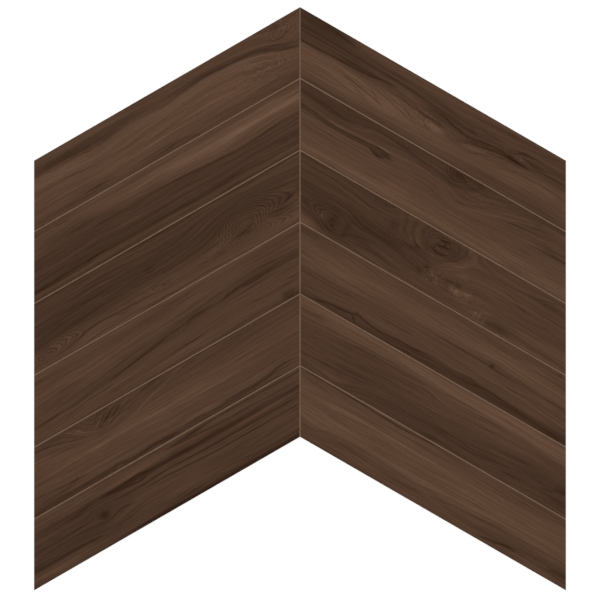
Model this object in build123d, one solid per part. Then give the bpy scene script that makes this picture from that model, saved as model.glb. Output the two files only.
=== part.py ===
from build123d import *
import math
import os

# Chevron mosaic sheet: twelve mitred porcelain strips in two hands, six to a side,
# joined edge to edge by a joint filler and carried on a backing mesh.
# Millimetres. The sheet lies face up and its point is towards +Y. X = 0 is the spine where
# the two hands meet, Y = 0 the middle of the sheet's length, Z = 0 the mesh's underside.

# One porcelain strip
strip_length = 219.0  # along each long edge
strip_width = 43.6  # across the face, square to the long edges
strip_thickness = 9.5
mitre_angle = 30.0  # how far the strips fall away from the spine, in degrees
face_bevel = 0.3  # ground off the four edges of the face

# Keying channels along a strip's back, left open where the mitres cut them
channel_count = 4
channel_spacing = 10.0
channel_width = 6.0
channel_depth = 0.5

# How the strips go together
row_count = 6
joint_width = 0.9  # between two strips, square to the joint
filler_recess = 0.3  # from the face down to the top of the filler

# Backing mesh
mesh_thickness = 0.4
mesh_margin = 4.0  # bare rim left along the sheet's edges

# Worked out from the sizes above
slope = math.tan(math.radians(mitre_angle))
mitre_cosine = math.cos(math.radians(mitre_angle))
strip_run = strip_length * mitre_cosine  # a strip's reach along X
strip_rise = strip_width / mitre_cosine  # a strip's depth along Y
row_pitch = strip_rise + joint_width / mitre_cosine
spine_length = row_count * strip_rise + (row_count - 1) * joint_width / mitre_cosine
half_joint = joint_width / 2
half_width = half_joint + strip_run
sheet_length = spine_length + half_width * slope
point_y = sheet_length / 2
filler_height = strip_thickness - filler_recess


def strip_plan(row):
    """Outline of the right-hand strip of a row, counted from the sheet's point."""
    upper = point_y - row * row_pitch
    lower = upper - strip_rise
    corners = [
        (half_joint, upper - half_joint * slope),
        (half_width, upper - half_width * slope),
        (half_width, lower - half_width * slope),
        (half_joint, lower - half_joint * slope),
    ]
    return make_face(Polyline(*corners, close=True))


def sheet_plan():
    """Outline of the whole sheet: pointed at the head, notched to match at the foot."""
    shoulder_y = point_y - half_width * slope
    notch_y = point_y - spine_length
    foot_y = shoulder_y - spine_length
    corners = [
        (0, point_y),
        (half_width, shoulder_y),
        (half_width, foot_y),
        (0, notch_y),
        (-half_width, foot_y),
        (-half_width, shoulder_y),
    ]
    return make_face(Polyline(*corners, close=True))


def right_strip(row):
    """One fired strip, bevelled round its face and channelled along its back."""
    plan = strip_plan(row)
    body = extrude(plan, strip_thickness)
    face_edges = body.faces().sort_by(Axis.Z)[-1].edges()
    body = chamfer(face_edges, face_bevel)
    channel = Box(
        2 * strip_length,
        channel_width,
        channel_depth,
        align=(Align.CENTER, Align.CENTER, Align.MIN),
    )
    along_strip = Location(plan.center(), (0, 0, -mitre_angle))
    across = GridLocations(0, channel_spacing, 1, channel_count)
    for place in across:
        body -= along_strip * place * channel
    return Pos(0, 0, mesh_thickness) * body


def joint_filler():
    """Filler of every joint, one piece: the spine with a branch to each side between rows."""
    plan = sheet_plan()
    for row in range(row_count):
        right = strip_plan(row)
        plan -= right
        plan -= mirror(right, about=Plane.YZ)
    return Pos(0, 0, mesh_thickness) * extrude(plan, filler_height)


def backing_mesh():
    """The mesh glued under the strips, as a plain sheet of its outline and thickness."""
    plan = offset(sheet_plan(), -mesh_margin, kind=Kind.INTERSECTION)
    return extrude(plan, mesh_thickness)


def all_pieces():
    """Every piece by name. Row 1 is at the sheet's point."""
    pieces = {}
    for row in range(row_count):
        strip = right_strip(row)
        pieces[f"strip_right_{row + 1}"] = strip
        pieces[f"strip_left_{row + 1}"] = mirror(strip, about=Plane.YZ)
    pieces["joint_filler"] = joint_filler()
    pieces["backing_mesh"] = backing_mesh()
    return pieces


os.makedirs("parts", exist_ok=True)
for name, piece in all_pieces().items():
    export_step(piece, f"parts/{name}.step")
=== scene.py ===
import math
import bpy
import numpy as np
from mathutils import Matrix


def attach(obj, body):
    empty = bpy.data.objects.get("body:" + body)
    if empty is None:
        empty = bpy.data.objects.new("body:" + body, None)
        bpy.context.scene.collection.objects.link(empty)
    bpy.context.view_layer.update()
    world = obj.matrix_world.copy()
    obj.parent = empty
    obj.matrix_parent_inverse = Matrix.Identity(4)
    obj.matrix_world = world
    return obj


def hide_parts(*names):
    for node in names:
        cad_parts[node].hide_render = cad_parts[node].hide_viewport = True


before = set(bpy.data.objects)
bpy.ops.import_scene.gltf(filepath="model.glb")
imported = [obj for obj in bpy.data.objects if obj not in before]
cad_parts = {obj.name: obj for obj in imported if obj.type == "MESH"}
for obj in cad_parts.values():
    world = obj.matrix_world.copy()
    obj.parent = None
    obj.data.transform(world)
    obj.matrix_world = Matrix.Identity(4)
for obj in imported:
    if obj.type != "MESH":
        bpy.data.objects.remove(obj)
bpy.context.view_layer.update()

print("frame loaded:", len(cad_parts), "solids")

# Lengths are in millimetres until a mesh or a lamp is made.
sheet = {
    "stripLength": 219.0,
    "stripWidth": 43.6,
    "stripThickness": 9.5,
    "fallAngle": 30.0,  # degrees that the strips drop away from the spine
    "rows": 6,
    "joint": 0.9,
    "edgeRound": 0.3,
    "meshThickness": 0.4,
    "meshMargin": 4.0,
}
toMetres = 0.001
slope = math.tan(math.radians(sheet["fallAngle"]))
cosFall = math.cos(math.radians(sheet["fallAngle"]))
sinFall = math.sin(math.radians(sheet["fallAngle"]))
halfJoint = sheet["joint"] / 2
stripRun = sheet["stripLength"] * cosFall
stripRise = sheet["stripWidth"] / cosFall
rowPitch = stripRise + sheet["joint"] / cosFall
spineLength = sheet["rows"] * stripRise + (sheet["rows"] - 1) * sheet["joint"] / cosFall
halfWidth = halfJoint + stripRun
pointY = (spineLength + halfWidth * slope) / 2
topZ = sheet["meshThickness"] + sheet["stripThickness"]


def addObject(name, data):
    item = bpy.data.objects.new(name, data)
    bpy.context.scene.collection.objects.link(item)
    return item


# camera and light; how near and far the camera sees, and the lamps' size and places, are in metres

view = {
    "lens": 300.0,
    "sensor": 36.0,
    "framed": 428.91,  # width of the picture at the face
    "shiftY": -0.9,  # the sheet sits this little above the picture's middle
    "nearest": 0.05,
    "farthest": 60.0,
}
light = {
    "sky": 0.83,
    "backdrop": 1.0,
    "lampPower": 9.55,
    "lampSize": 1.6,
    "lampPlace": (-1.1, 1.3, 2.4),
    "fillPower": 3.27,
    "fillPlace": (1.6, -1.2, 1.9),
}


def addCamera():
    data = bpy.data.cameras.new("camera")
    data.lens = view["lens"]
    data.sensor_width = view["sensor"]
    data.clip_start = view["nearest"]
    data.clip_end = view["farthest"]
    reach = view["framed"] * toMetres / view["sensor"] * view["lens"]
    camera = addObject("camera", data)
    camera.location = (0.0, view["shiftY"] * toMetres, topZ * toMetres + reach)
    bpy.context.scene.camera = camera


def addLamp(name, power, place):
    data = bpy.data.lights.new(name, "AREA")
    data.shape = "DISK"
    data.size = light["lampSize"]
    data.energy = power
    lamp = addObject(name, data)
    lamp.location = place
    aim = -lamp.location.copy()
    lamp.rotation_mode = "QUATERNION"
    lamp.rotation_quaternion = aim.to_track_quat("-Z", "Y")


def newTree(owner):
    owner.use_nodes = True
    owner.node_tree.nodes.clear()
    return owner.node_tree


def makeNode(tree, kind, **settings):
    node = tree.nodes.new(kind)
    for name, value in settings.items():
        setattr(node, name, value)
    return node


def whiteBackground(tree, strength):
    node = makeNode(tree, "ShaderNodeBackground")
    node.inputs["Color"].default_value = (1, 1, 1, 1)
    node.inputs["Strength"].default_value = strength
    return node.outputs[0]


def addSky():
    world = bpy.data.worlds.new("sky")
    bpy.context.scene.world = world
    tree = newTree(world)
    out = makeNode(tree, "ShaderNodeOutputWorld")
    pick = makeNode(tree, "ShaderNodeMixShader")
    rays = makeNode(tree, "ShaderNodeLightPath")
    tree.links.new(rays.outputs["Is Camera Ray"], pick.inputs[0])
    tree.links.new(whiteBackground(tree, light["sky"]), pick.inputs[1])
    tree.links.new(whiteBackground(tree, light["backdrop"]), pick.inputs[2])
    tree.links.new(pick.outputs[0], out.inputs["Surface"])


# node helpers

def feed(tree, socket, value):
    if isinstance(value, bpy.types.NodeSocket):
        tree.links.new(value, socket)
    else:
        socket.default_value = value


def calc(tree, operation, first, second=0.0, third=None, clamp=False):
    node = makeNode(tree, "ShaderNodeMath", operation=operation, use_clamp=clamp)
    feed(tree, node.inputs[0], first)
    feed(tree, node.inputs[1], second)
    if third is not None:
        feed(tree, node.inputs[2], third)
    return node.outputs[0]


def plus(tree, first, second):
    return calc(tree, "ADD", first, second)


def minus(tree, first, second):
    return calc(tree, "SUBTRACT", first, second)


def times(tree, first, second):
    return calc(tree, "MULTIPLY", first, second)


def timesPlus(tree, first, second, third, clamp=False):
    return calc(tree, "MULTIPLY_ADD", first, second, third, clamp)


def swing(tree, value, reach):  # a noise value as a swing to both sides of nothing
    return times(tree, minus(tree, value, 0.5), reach)


def ranged(tree, value, low, high, toLow, toHigh, curve="LINEAR"):
    node = makeNode(tree, "ShaderNodeMapRange", interpolation_type=curve)
    for socket, item in zip(node.inputs[:5], (value, low, high, toLow, toHigh)):
        feed(tree, socket, item)
    return node.outputs[0]


def rising(tree, value, low, high):
    return ranged(tree, value, low, high, 0.0, 1.0, "SMOOTHSTEP")


def falling(tree, value, low, high):
    return ranged(tree, value, low, high, 1.0, 0.0, "SMOOTHSTEP")


def noise(tree, x, y, z, detail, rough=0.5, distortion=0.0):
    place = makeNode(tree, "ShaderNodeCombineXYZ")
    for socket, item in zip(place.inputs, (x, y, z)):
        feed(tree, socket, item)
    node = makeNode(tree, "ShaderNodeTexNoise", noise_dimensions="3D")
    tree.links.new(place.outputs[0], node.inputs["Vector"])
    node.inputs["Scale"].default_value = 1.0
    node.inputs["Detail"].default_value = detail
    node.inputs["Roughness"].default_value = rough
    node.inputs["Distortion"].default_value = distortion
    return node.outputs["Fac"]


def grainNoise(tree, given, across, scale, detail, rough=0.5, distortion=0.0, seed=None):
    along, up = scale  # turns in a millimetre along the grain and across it
    x, y = times(tree, given["Along"], along), times(tree, given[across], up)
    return noise(tree, x, y, given["Seed"] if seed is None else seed, detail, rough, distortion)


def ringLine(tree, count, rise, fall):  # the dark line of each ring, as shares of the step from one count to the next
    part = calc(tree, "FRACT", count)
    return times(tree, rising(tree, part, *rise), falling(tree, part, *fall))


def colourRamp(tree, value, stops):
    node = makeNode(tree, "ShaderNodeValToRGB")
    elements = node.color_ramp.elements
    while len(elements) < len(stops):
        elements.new(0.5)
    for element, (place, colour) in zip(elements, stops):
        element.position = place
        element.color = colour
    tree.links.new(value, node.inputs[0])
    return node.outputs["Color"]


def colourMix(tree, share, first, second, **settings):
    node = makeNode(tree, "ShaderNodeMix", data_type="RGBA", **settings)
    for socket, item in zip((node.inputs[0], node.inputs[6], node.inputs[7]), (share, first, second)):
        feed(tree, socket, item)
    return node.outputs[2]


def addBump(tree, shader, height, distance):
    bump = makeNode(tree, "ShaderNodeBump")
    bump.inputs["Strength"].default_value = 1.0
    bump.inputs["Distance"].default_value = distance
    tree.links.new(height, bump.inputs["Height"])
    tree.links.new(bump.outputs[0], shader.inputs["Normal"])


def newGroup(name, outputs, **inputs):
    group = bpy.data.node_groups.new(name, "ShaderNodeTree")
    for label, value in inputs.items():
        socket = group.interface.new_socket(name=label, in_out="INPUT", socket_type="NodeSocketFloat")
        socket.default_value = value
    for label in outputs:
        kind = "NodeSocketColor" if label == "Color" else "NodeSocketFloat"
        group.interface.new_socket(name=label, in_out="OUTPUT", socket_type=kind)
    start = group.nodes.new("NodeGroupInput")
    end = group.nodes.new("NodeGroupOutput")
    return group, start.outputs, end.inputs


def placeGroup(tree, group, **values):
    node = makeNode(tree, "ShaderNodeGroup", node_tree=group)
    for label, value in values.items():
        feed(tree, node.inputs[label], value)
    return node.outputs


def srgb(r, g, b):
    def one(c):
        c = c / 255
        return c / 12.92 if c <= 0.04045 else ((c + 0.055) / 1.055) ** 2.4
    return (one(r), one(g), one(b), 1.0)


# Tone is counted as the print's red value out of 255, so 58 is a dark streak and 96 a pale one.
toneColours = [
    (20, (37, 15, 1)),
    (40, (46, 24, 9)),
    (52, (54, 33, 19)),
    (60, (59, 39, 25)),
    (70, (69, 47, 33)),
    (80, (80, 56, 40)),
    (90, (91, 65, 48)),
    (100, (102, 75, 56)),
    (120, (121, 93, 73)),
]
darkest, palest, middleTone = 20.0, 120.0, 80.0


def toneShare(tone):
    return (tone - darkest) / (palest - darkest)


# node groups of the print, each putting out a change of tone unless its name says otherwise

def makeGrainWander():  # the grain's lines moved a little off their drawn run, in millimetres
    group, given, out = newGroup(
        "grainWander", ("Flow", "Across"), Flow=0.0, Along=0.0, Across=0.0, Figure=0.0, Seed=0.0
    )
    slow = swing(group, grainNoise(group, given, "Across", (0.022, 0.07), 2.0), 2.6)
    quick = swing(group, grainNoise(group, given, "Across", (0.11, 0.3), 3.0), 0.9)
    curly = grainNoise(group, given, "Across", (0.16, 0.2), 3.0, 0.55, 0.6)
    curly = swing(group, curly, times(group, given["Figure"], 11.0))
    flow = plus(group, plus(group, given["Flow"], plus(group, slow, quick)), curly)
    small = plus(group, times(group, quick, 0.7), times(group, slow, 0.12))
    group.links.new(flow, out["Flow"])
    group.links.new(plus(group, given["Across"], small), out["Across"])
    return group


def makeGrainLines():
    group, given, out = newGroup(
        "grainLines", ("Tone",), Flow=0.0, Along=0.0, Seed=0.0, Broad=5.0, Medium=6.0, Fine=5.0, Thin=6.0
    )
    total = None
    sizes = (("Broad", (0.008, 0.17), 1.0), ("Medium", (0.014, 0.5), 1.5), ("Fine", (0.024, 1.05), 1.0))
    for label, scale, detail in sizes:
        part = grainNoise(group, given, "Flow", scale, detail, 0.6)
        part = swing(group, part, times(group, given[label], 4.0))
        total = part if total is None else plus(group, total, part)
    shifted = plus(group, given["Seed"], 3.3)
    thin = grainNoise(group, given, "Flow", (0.009, 0.34), 1.5, seed=shifted)
    thin = ranged(group, calc(group, "ABSOLUTE", minus(group, thin, 0.5)), 0.0, 0.05, 1.0, 0.0)
    there = grainNoise(group, given, "Flow", (0.014, 0.2), 1.0, seed=plus(group, shifted, 5.1))
    thin = times(group, thin, ranged(group, there, 0.42, 0.62, 0.0, 1.0))
    group.links.new(minus(group, total, times(group, thin, given["Thin"])), out["Tone"])
    return group


def makeGrowthRings():
    group, given, out = newGroup("growthRings", ("Tone",), Flow=0.0, Along=0.0, Seed=0.0, Spacing=2.2, Amount=4.0)
    drift = grainNoise(group, given, "Flow", (0.006, 0.12), 1.0)
    count = plus(group, calc(group, "DIVIDE", given["Flow"], given["Spacing"]), times(group, drift, 5.0))
    late = ringLine(group, count, (0.0, 0.72), (0.8, 1.0))
    strength = noise(group, times(group, given["Along"], 0.012), calc(group, "FLOOR", count), given["Seed"], 1.0)
    strength = ranged(group, strength, 0.3, 0.7, 0.1, 1.6)
    tone = times(group, minus(group, 0.42, late), times(group, strength, given["Amount"]))
    group.links.new(tone, out["Tone"])
    return group


def makePoreFlecks():
    group, given, out = newGroup(
        "poreFlecks", ("Tone",), Flow=0.0, Along=0.0, Across=0.0, Seed=0.0, Amount=4.0, Speckle=2.0
    )
    dash = ranged(group, grainNoise(group, given, "Flow", (0.22, 2.6), 1.0), 0.56, 0.76, 0.0, 1.0)
    dot = swing(group, grainNoise(group, given, "Across", (0.9, 1.3), 1.0), times(group, given["Speckle"], 4.0))
    group.links.new(minus(group, dot, times(group, dash, given["Amount"])), out["Tone"])
    return group


def makeBurlFigure():
    group, given, out = newGroup("burlFigure", ("Tone",), Along=0.0, Across=0.0, Figure=0.0, Seed=0.0, Amount=9.0)
    folds = grainNoise(group, given, "Across", (0.3, 0.4), 4.0, 0.6, 1.8)
    curls = ranged(group, folds, 0.4, 0.6, -0.7, 1.0, "SMOOTHSTEP")
    group.links.new(times(group, times(group, curls, given["Amount"]), given["Figure"]), out["Tone"])
    return group


def makeKnotRings():
    group, given, out = newGroup(
        "knotRings", ("Tone",), Count=0.0, Share=0.0, Along=0.0, Across=0.0, Seed=0.0, Amount=14.0
    )
    bend = grainNoise(group, given, "Across", (0.22, 0.3), 3.0, 0.6)
    count = timesPlus(group, minus(group, bend, 0.5), 1.1, given["Count"])
    line = ringLine(group, count, (0.35, 0.7), (0.74, 0.98))
    depth = timesPlus(group, given["Across"], 0.06, given["Seed"])
    strength = noise(group, times(group, given["Along"], 0.06), calc(group, "FLOOR", count), depth, 1.0)
    strength = ranged(group, strength, 0.3, 0.7, 0.45, 1.45)
    tone = times(group, minus(group, 0.28, line), times(group, strength, given["Amount"]))
    group.links.new(times(group, tone, given["Share"]), out["Tone"])
    return group


def makePrintedStreak():
    group, given, out = newGroup(
        "printedStreak", ("Tone",), Along=0.0, Across=0.0, Path=0.0, Start=0.0, End=100.0,
        Above=1.0, Below=1.0, Depth=10.0, Fade=12.0, Seed=0.0
    )
    reaches = (minus(group, given["Along"], given["Start"]), minus(group, given["End"], given["Along"]))
    ends = calc(group, "MINIMUM", *(calc(group, "DIVIDE", reach, given["Fade"]) for reach in reaches))
    ends = rising(group, ends, 0.0, 1.0)
    gap = minus(group, given["Across"], given["Path"])
    upper = calc(group, "GREATER_THAN", gap, 0.0)
    wide = plus(group, times(group, upper, minus(group, given["Above"], given["Below"])), given["Below"])
    wide = times(group, wide, plus(group, times(group, ends, 0.6), 0.4))
    mark = falling(group, calc(group, "DIVIDE", calc(group, "ABSOLUTE", gap), wide), 0.2, 1.8)
    broken = ranged(group, grainNoise(group, given, "Across", (0.09, 0.9), 2.0), 0.3, 0.7, 0.55, 1.35)
    tone = times(group, times(group, mark, ends), times(group, broken, given["Depth"]))
    group.links.new(times(group, tone, -1.0), out["Tone"])
    return group


def makePrintColour():  # a tone as the print's colour, a little warmer or cooler from place to place
    group, given, out = newGroup("printColour", ("Color",), Tone=80.0, Along=0.0, Across=0.0, Seed=0.0)
    share = ranged(group, given["Tone"], darkest, palest, 0.0, 1.0)
    plain = colourRamp(group, share, [(toneShare(tone), srgb(*colour)) for tone, colour in toneColours])
    warm = swing(group, grainNoise(group, given, "Across", (0.014, 0.06), 2.0), 0.05)
    tint = makeNode(group, "ShaderNodeCombineColor")
    for socket, item in zip(tint.inputs, (plus(group, warm, 1.0), 1.0, minus(group, 1.0, warm))):
        feed(group, socket, item)
    group.links.new(colourMix(group, 1.0, plain, tint.outputs[0], blend_type="MULTIPLY"), out["Color"])
    return group


# Prints of the twelve faces, in millimetres along a strip from the spine and across it from its lower edge.
# rings: spacing and strength of the growth rings, where they differ from the other strips'.
# grain: lines that the grain follows, each a level and its points. bands: the tone at each level.
# swells: rises in the grain field, which close its lines into rings. eyes: round knots that the grain flows round.
# clouds: soft changes of tone along the grain. spots: soft marks. burls: where the grain is curled.
# figures: nested outlines with the number of rings up to each. knots: rounded ones, with rings and strength.
# streaks: drawn lines as depth, width (or widths above and below) and points; a negative depth is a pale line.
prints = {}
prints["left_1"] = {
    "seed": 1.7,
    "grain": [
        (4, [(0, 4), (60, 4.5), (100, 4), (150, 4.2), (220, 5)]),
        (12, [(-5, 11), (30, 11), (60, 12.5), (100, 11.5), (140, 10.5), (160, 11), (190, 13), (212, 12)]),
        (21, [(-10, 14), (10, 17), (25, 21.5), (40, 24.5), (60, 25), (80, 24), (100, 23), (120, 21), (135, 19.5),
         (150, 18.6), (165, 20), (185, 21), (207, 20.5)]),
        (31, [(-12, 19), (0, 22.5), (10, 26.5), (20, 30), (30, 32.3), (45, 33), (60, 33.3), (75, 32), (97, 30.3),
         (110, 31.5), (125, 31), (140, 29.5), (150, 29.2), (175, 30.3), (200, 31)]),
        (36, [(-14, 22), (-5, 24), (0, 26.5), (10, 31.5), (20, 34), (35, 35.2), (50, 36.2), (90, 36.5), (110, 37.5),
         (140, 38), (197, 38)]),
        (40, [(-19, 34), (-10, 32.5), (-3, 31.5), (3, 33), (10, 36.3), (20, 38.3), (40, 39.8), (80, 40.3), (195, 41)]),
    ],
    "bands": [(0, 79), (3, 79), (5, 82), (8, 85), (10, 88), (13, 92), (17, 90), (21, 89), (23, 93), (27, 95),
        (30.5, 93), (31.6, 83), (33.5, 78), (36, 79), (37.5, 83), (40, 85), (43.6, 84)],
    "clouds": [(165, 34.5, 55, 3, -6), (3, 14, 18, 6, -5)],
    "spots": [(-8.5, 34, 1.1, 0.8, -16), (-3, 40.4, 3, 1, -13), (-2, 20, 11, 2.2, -6), (0, 27.5, 9, 2, 5),
        (115, 20, 20, 1.4, 4), (172, 16, 16, 4, -4), (62, 2, 30, 1.8, 4), (10, 25, 13, 4, -8), (85, 34, 14, 3, 6),
        (72, 23.5, 22, 2.5, 6), (212, 13, 12, 5, -6), (150, 7, 22, 3, 5), (85, 3, 25, 2.5, 3), (203, 35, 12, 4, -4),
        (-4, 39.5, 1.6, 0.9, -14), (-8, 34, 0.8, 0.7, -16), (-14, 43, 3, 1, -10), (-2, 43, 4, 1.2, -6),
        (0, 30, 10, 2, -3)],
    "burls": [(16, 17, 24, 9, 0.8), (-8, 37, 10, 6, 0.6), (175, 27, 40, 4, 0.35), (-4, 38, 10, 6, 0.9),
        (14, 18, 18, 7, 0.6)],
    "knots": [(-6, 36, 11, 7.5, 5, 0.6)],
    "streaks": [
        (9.6, 1, 1.4, [(-20, 18.5), (-12, 20), (0, 24.3), (8, 28), (15, 31), (25, 33), (40, 34), (55, 35.2), (75, 35),
         (100, 35.5)]),
        (8, 0.4, [(-20, 36), (-14, 34.5), (-8, 32.8), (-3, 31.4), (2, 32), (6, 34.5), (10, 36.8)]),
        (7, 0.5, 0.4, [(-16, 28.5), (-12, 27), (-6, 25.8), (2, 28), (8, 31), (14, 33.5)]),
        (5.2, 0.6, 0.4, [(60, 34.5), (80, 32.8), (97, 30.9), (104, 31.5)]),
        (5.2, 1.6, [(110, 36), (150, 36.3), (170, 36), (197, 36.5)]),
        (5.9, 0.5, 0.6, [(146, 32.5), (160, 32.6), (175, 33.6), (190, 33.8), (200, 33)]),
        (7, 0.4, 0.5, [(150, 18.7), (162, 19.4), (172, 20.6), (185, 21), (207, 20.5)]),
        (16.2, 0.35, 0.6, [(144, 3.2), (150, 4.2), (158, 5.1), (165, 5.2), (172, 5), (178, 4.7)]),
        (5.9, 1, 1.4, [(150, 3), (165, 4.2), (185, 4.2), (200, 3.6)]),
        (6.7, 0.9, [(74, 1), (80, 1.2), (88, 2.6), (94, 3.4), (105, 3), (118, 2)]),
        (6.7, 0.7, 0.8, [(-6, 3), (2, 3.4), (12, 4)]),
        (7, 0.3, [(125, 12.6), (132, 12.9), (140, 13)]),
        (6, 0.3, [(170, 13), (190, 13.4), (213, 12.5)]),
        (-5, 0.4, [(96, 12), (115, 11.4), (140, 10.6), (165, 11)]),
    ],
}
prints["left_2"] = {
    "seed": 8.3,
    "grain": [
        (1, [(0, 1), (220, 1)]),
        (6, [(0, 6), (40, 7.5), (60, 6.3), (80, 6), (100, 6.5), (150, 6.8), (175, 6.5), (200, 5.3), (216, 5)]),
        (13, [(-5, 11.5), (20, 11.8), (40, 12.5), (60, 13), (90, 13.5), (120, 13), (150, 13.8), (175, 13), (200, 12),
         (211, 11)]),
        (16, [(0, 15), (50, 14.8), (90, 15.8), (120, 15.9), (150, 16.3), (170, 16), (210, 15.3)]),
        (24, [(-12, 24.2), (20, 23.3), (35, 22.8), (50, 23.8), (65, 24.8), (80, 25.6), (97, 26.3), (130, 26),
         (200, 26)]),
        (30, [(-16, 29), (10, 31), (30, 28.5), (50, 26.8), (65, 28), (100, 29.5), (140, 30.5), (160, 32), (175, 31.5),
         (195, 28.5)]),
        (35, [(-20, 34.5), (20, 34.5), (60, 35), (100, 35), (120, 34.5), (140, 35), (160, 36.2), (180, 35.8),
         (200, 34)]),
        (40, [(-23, 40), (0, 41), (30, 39.5), (60, 40), (100, 39.5), (150, 39.5), (175, 39.8), (195, 41)]),
    ],
    "bands": [(0, 71), (1, 68), (2.5, 76), (4, 76), (5.3, 69), (6.3, 67), (8, 68), (10, 71), (12, 68), (13, 67),
        (14.6, 70), (16, 77), (17.2, 72), (19, 70), (21, 72), (23, 70), (24, 73), (24.8, 83), (27, 85), (29.5, 90),
        (31, 93), (33.5, 97), (36, 96), (38.5, 97), (39.8, 89), (41.5, 83), (43.6, 84)],
    "clouds": [(20, 33, 45, 3, 5), (150, 28, 42, 6, -13), (175, 33, 28, 4, -9), (180, 38, 35, 5, -9),
        (195, 8, 32, 4, -6), (12, 7, 24, 4, 7), (120, 38, 40, 4, -5)],
    "spots": [(190, 27.6, 18, 1.5, -7), (140, 25, 28, 1.4, 4), (8, 10.5, 18, 1.6, -4), (50, 1.4, 16, 1.3, 4),
        (202, 35, 14, 5, -9), (160, 25.3, 55, 1.6, 6), (105, 31, 9, 3, -4), (55, 31, 12, 3, -3), (85, 17.3, 45, 1.5, 4),
        (6, 10.7, 2.2, 1.2, -6), (52, 1.5, 6, 0.7, -5)],
    "streaks": [
        (5.9, 0.5, 0.7, [(-6, 24.3), (2, 24), (10, 23.2), (20, 22.2), (30, 21.7), (40, 22), (55, 23), (75, 24.6),
         (97, 25.6), (130, 25.6), (160, 25.4)]),
        (7.4, 0.9, 0.6, [(36, 8.6), (50, 7.2), (60, 6.4), (80, 6), (97, 6.5), (110, 7), (125, 6.9), (150, 6.9),
         (165, 7), (180, 6.4), (200, 5.4), (225, 5.2)]),
        (6, 0.5, 0.4, [(100, 7), (115, 7), (130, 6.8)]),
        (9, 0.4, [(150, 6.8), (165, 7.1), (178, 6.6)]),
        (9, 0.4, [(196, 5.6), (207, 5.4), (225, 5.4)]),
        (6.7, 0.5, [(26, 1.6), (40, 1.4), (50, 1.9), (60, 1.2), (72, 0.8)]),
        (6, 0.7, [(160, 10), (175, 10.3), (190, 9.3)]),
        (5.9, 1.2, 1.1, [(150, 29.2), (165, 29.4), (182, 28.6)]),
        (6, 0.4, [(140, 30), (150, 31), (160, 31.6), (172, 31)]),
        (9, 0.35, 0.4, [(165, 38.8), (172, 39.6), (180, 40.2), (184, 40.8)]),
        (6, 0.35, 0.4, [(176, 34.4), (188, 33), (205, 31.4)]),
        (6, 0.35, 0.4, [(168, 32.2), (180, 30.6), (195, 28.4)]),
        (6.7, 0.7, [(196, 23.2), (204, 22.8), (215, 22.4)]),
        (7, 0.35, [(-30, 36.2), (-15, 36.2), (-5, 36)]),
        (4, 0.5, [(50, 13), (90, 13.6), (130, 13), (150, 13.9), (180, 13)]),
        (-5, 1.2, [(-25, 33), (0, 33), (40, 33.4), (70, 34)]),
        (-6, 0.5, 0.3, [(95, 34.8), (110, 34.2), (124, 33.8)]),
    ],
}
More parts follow.
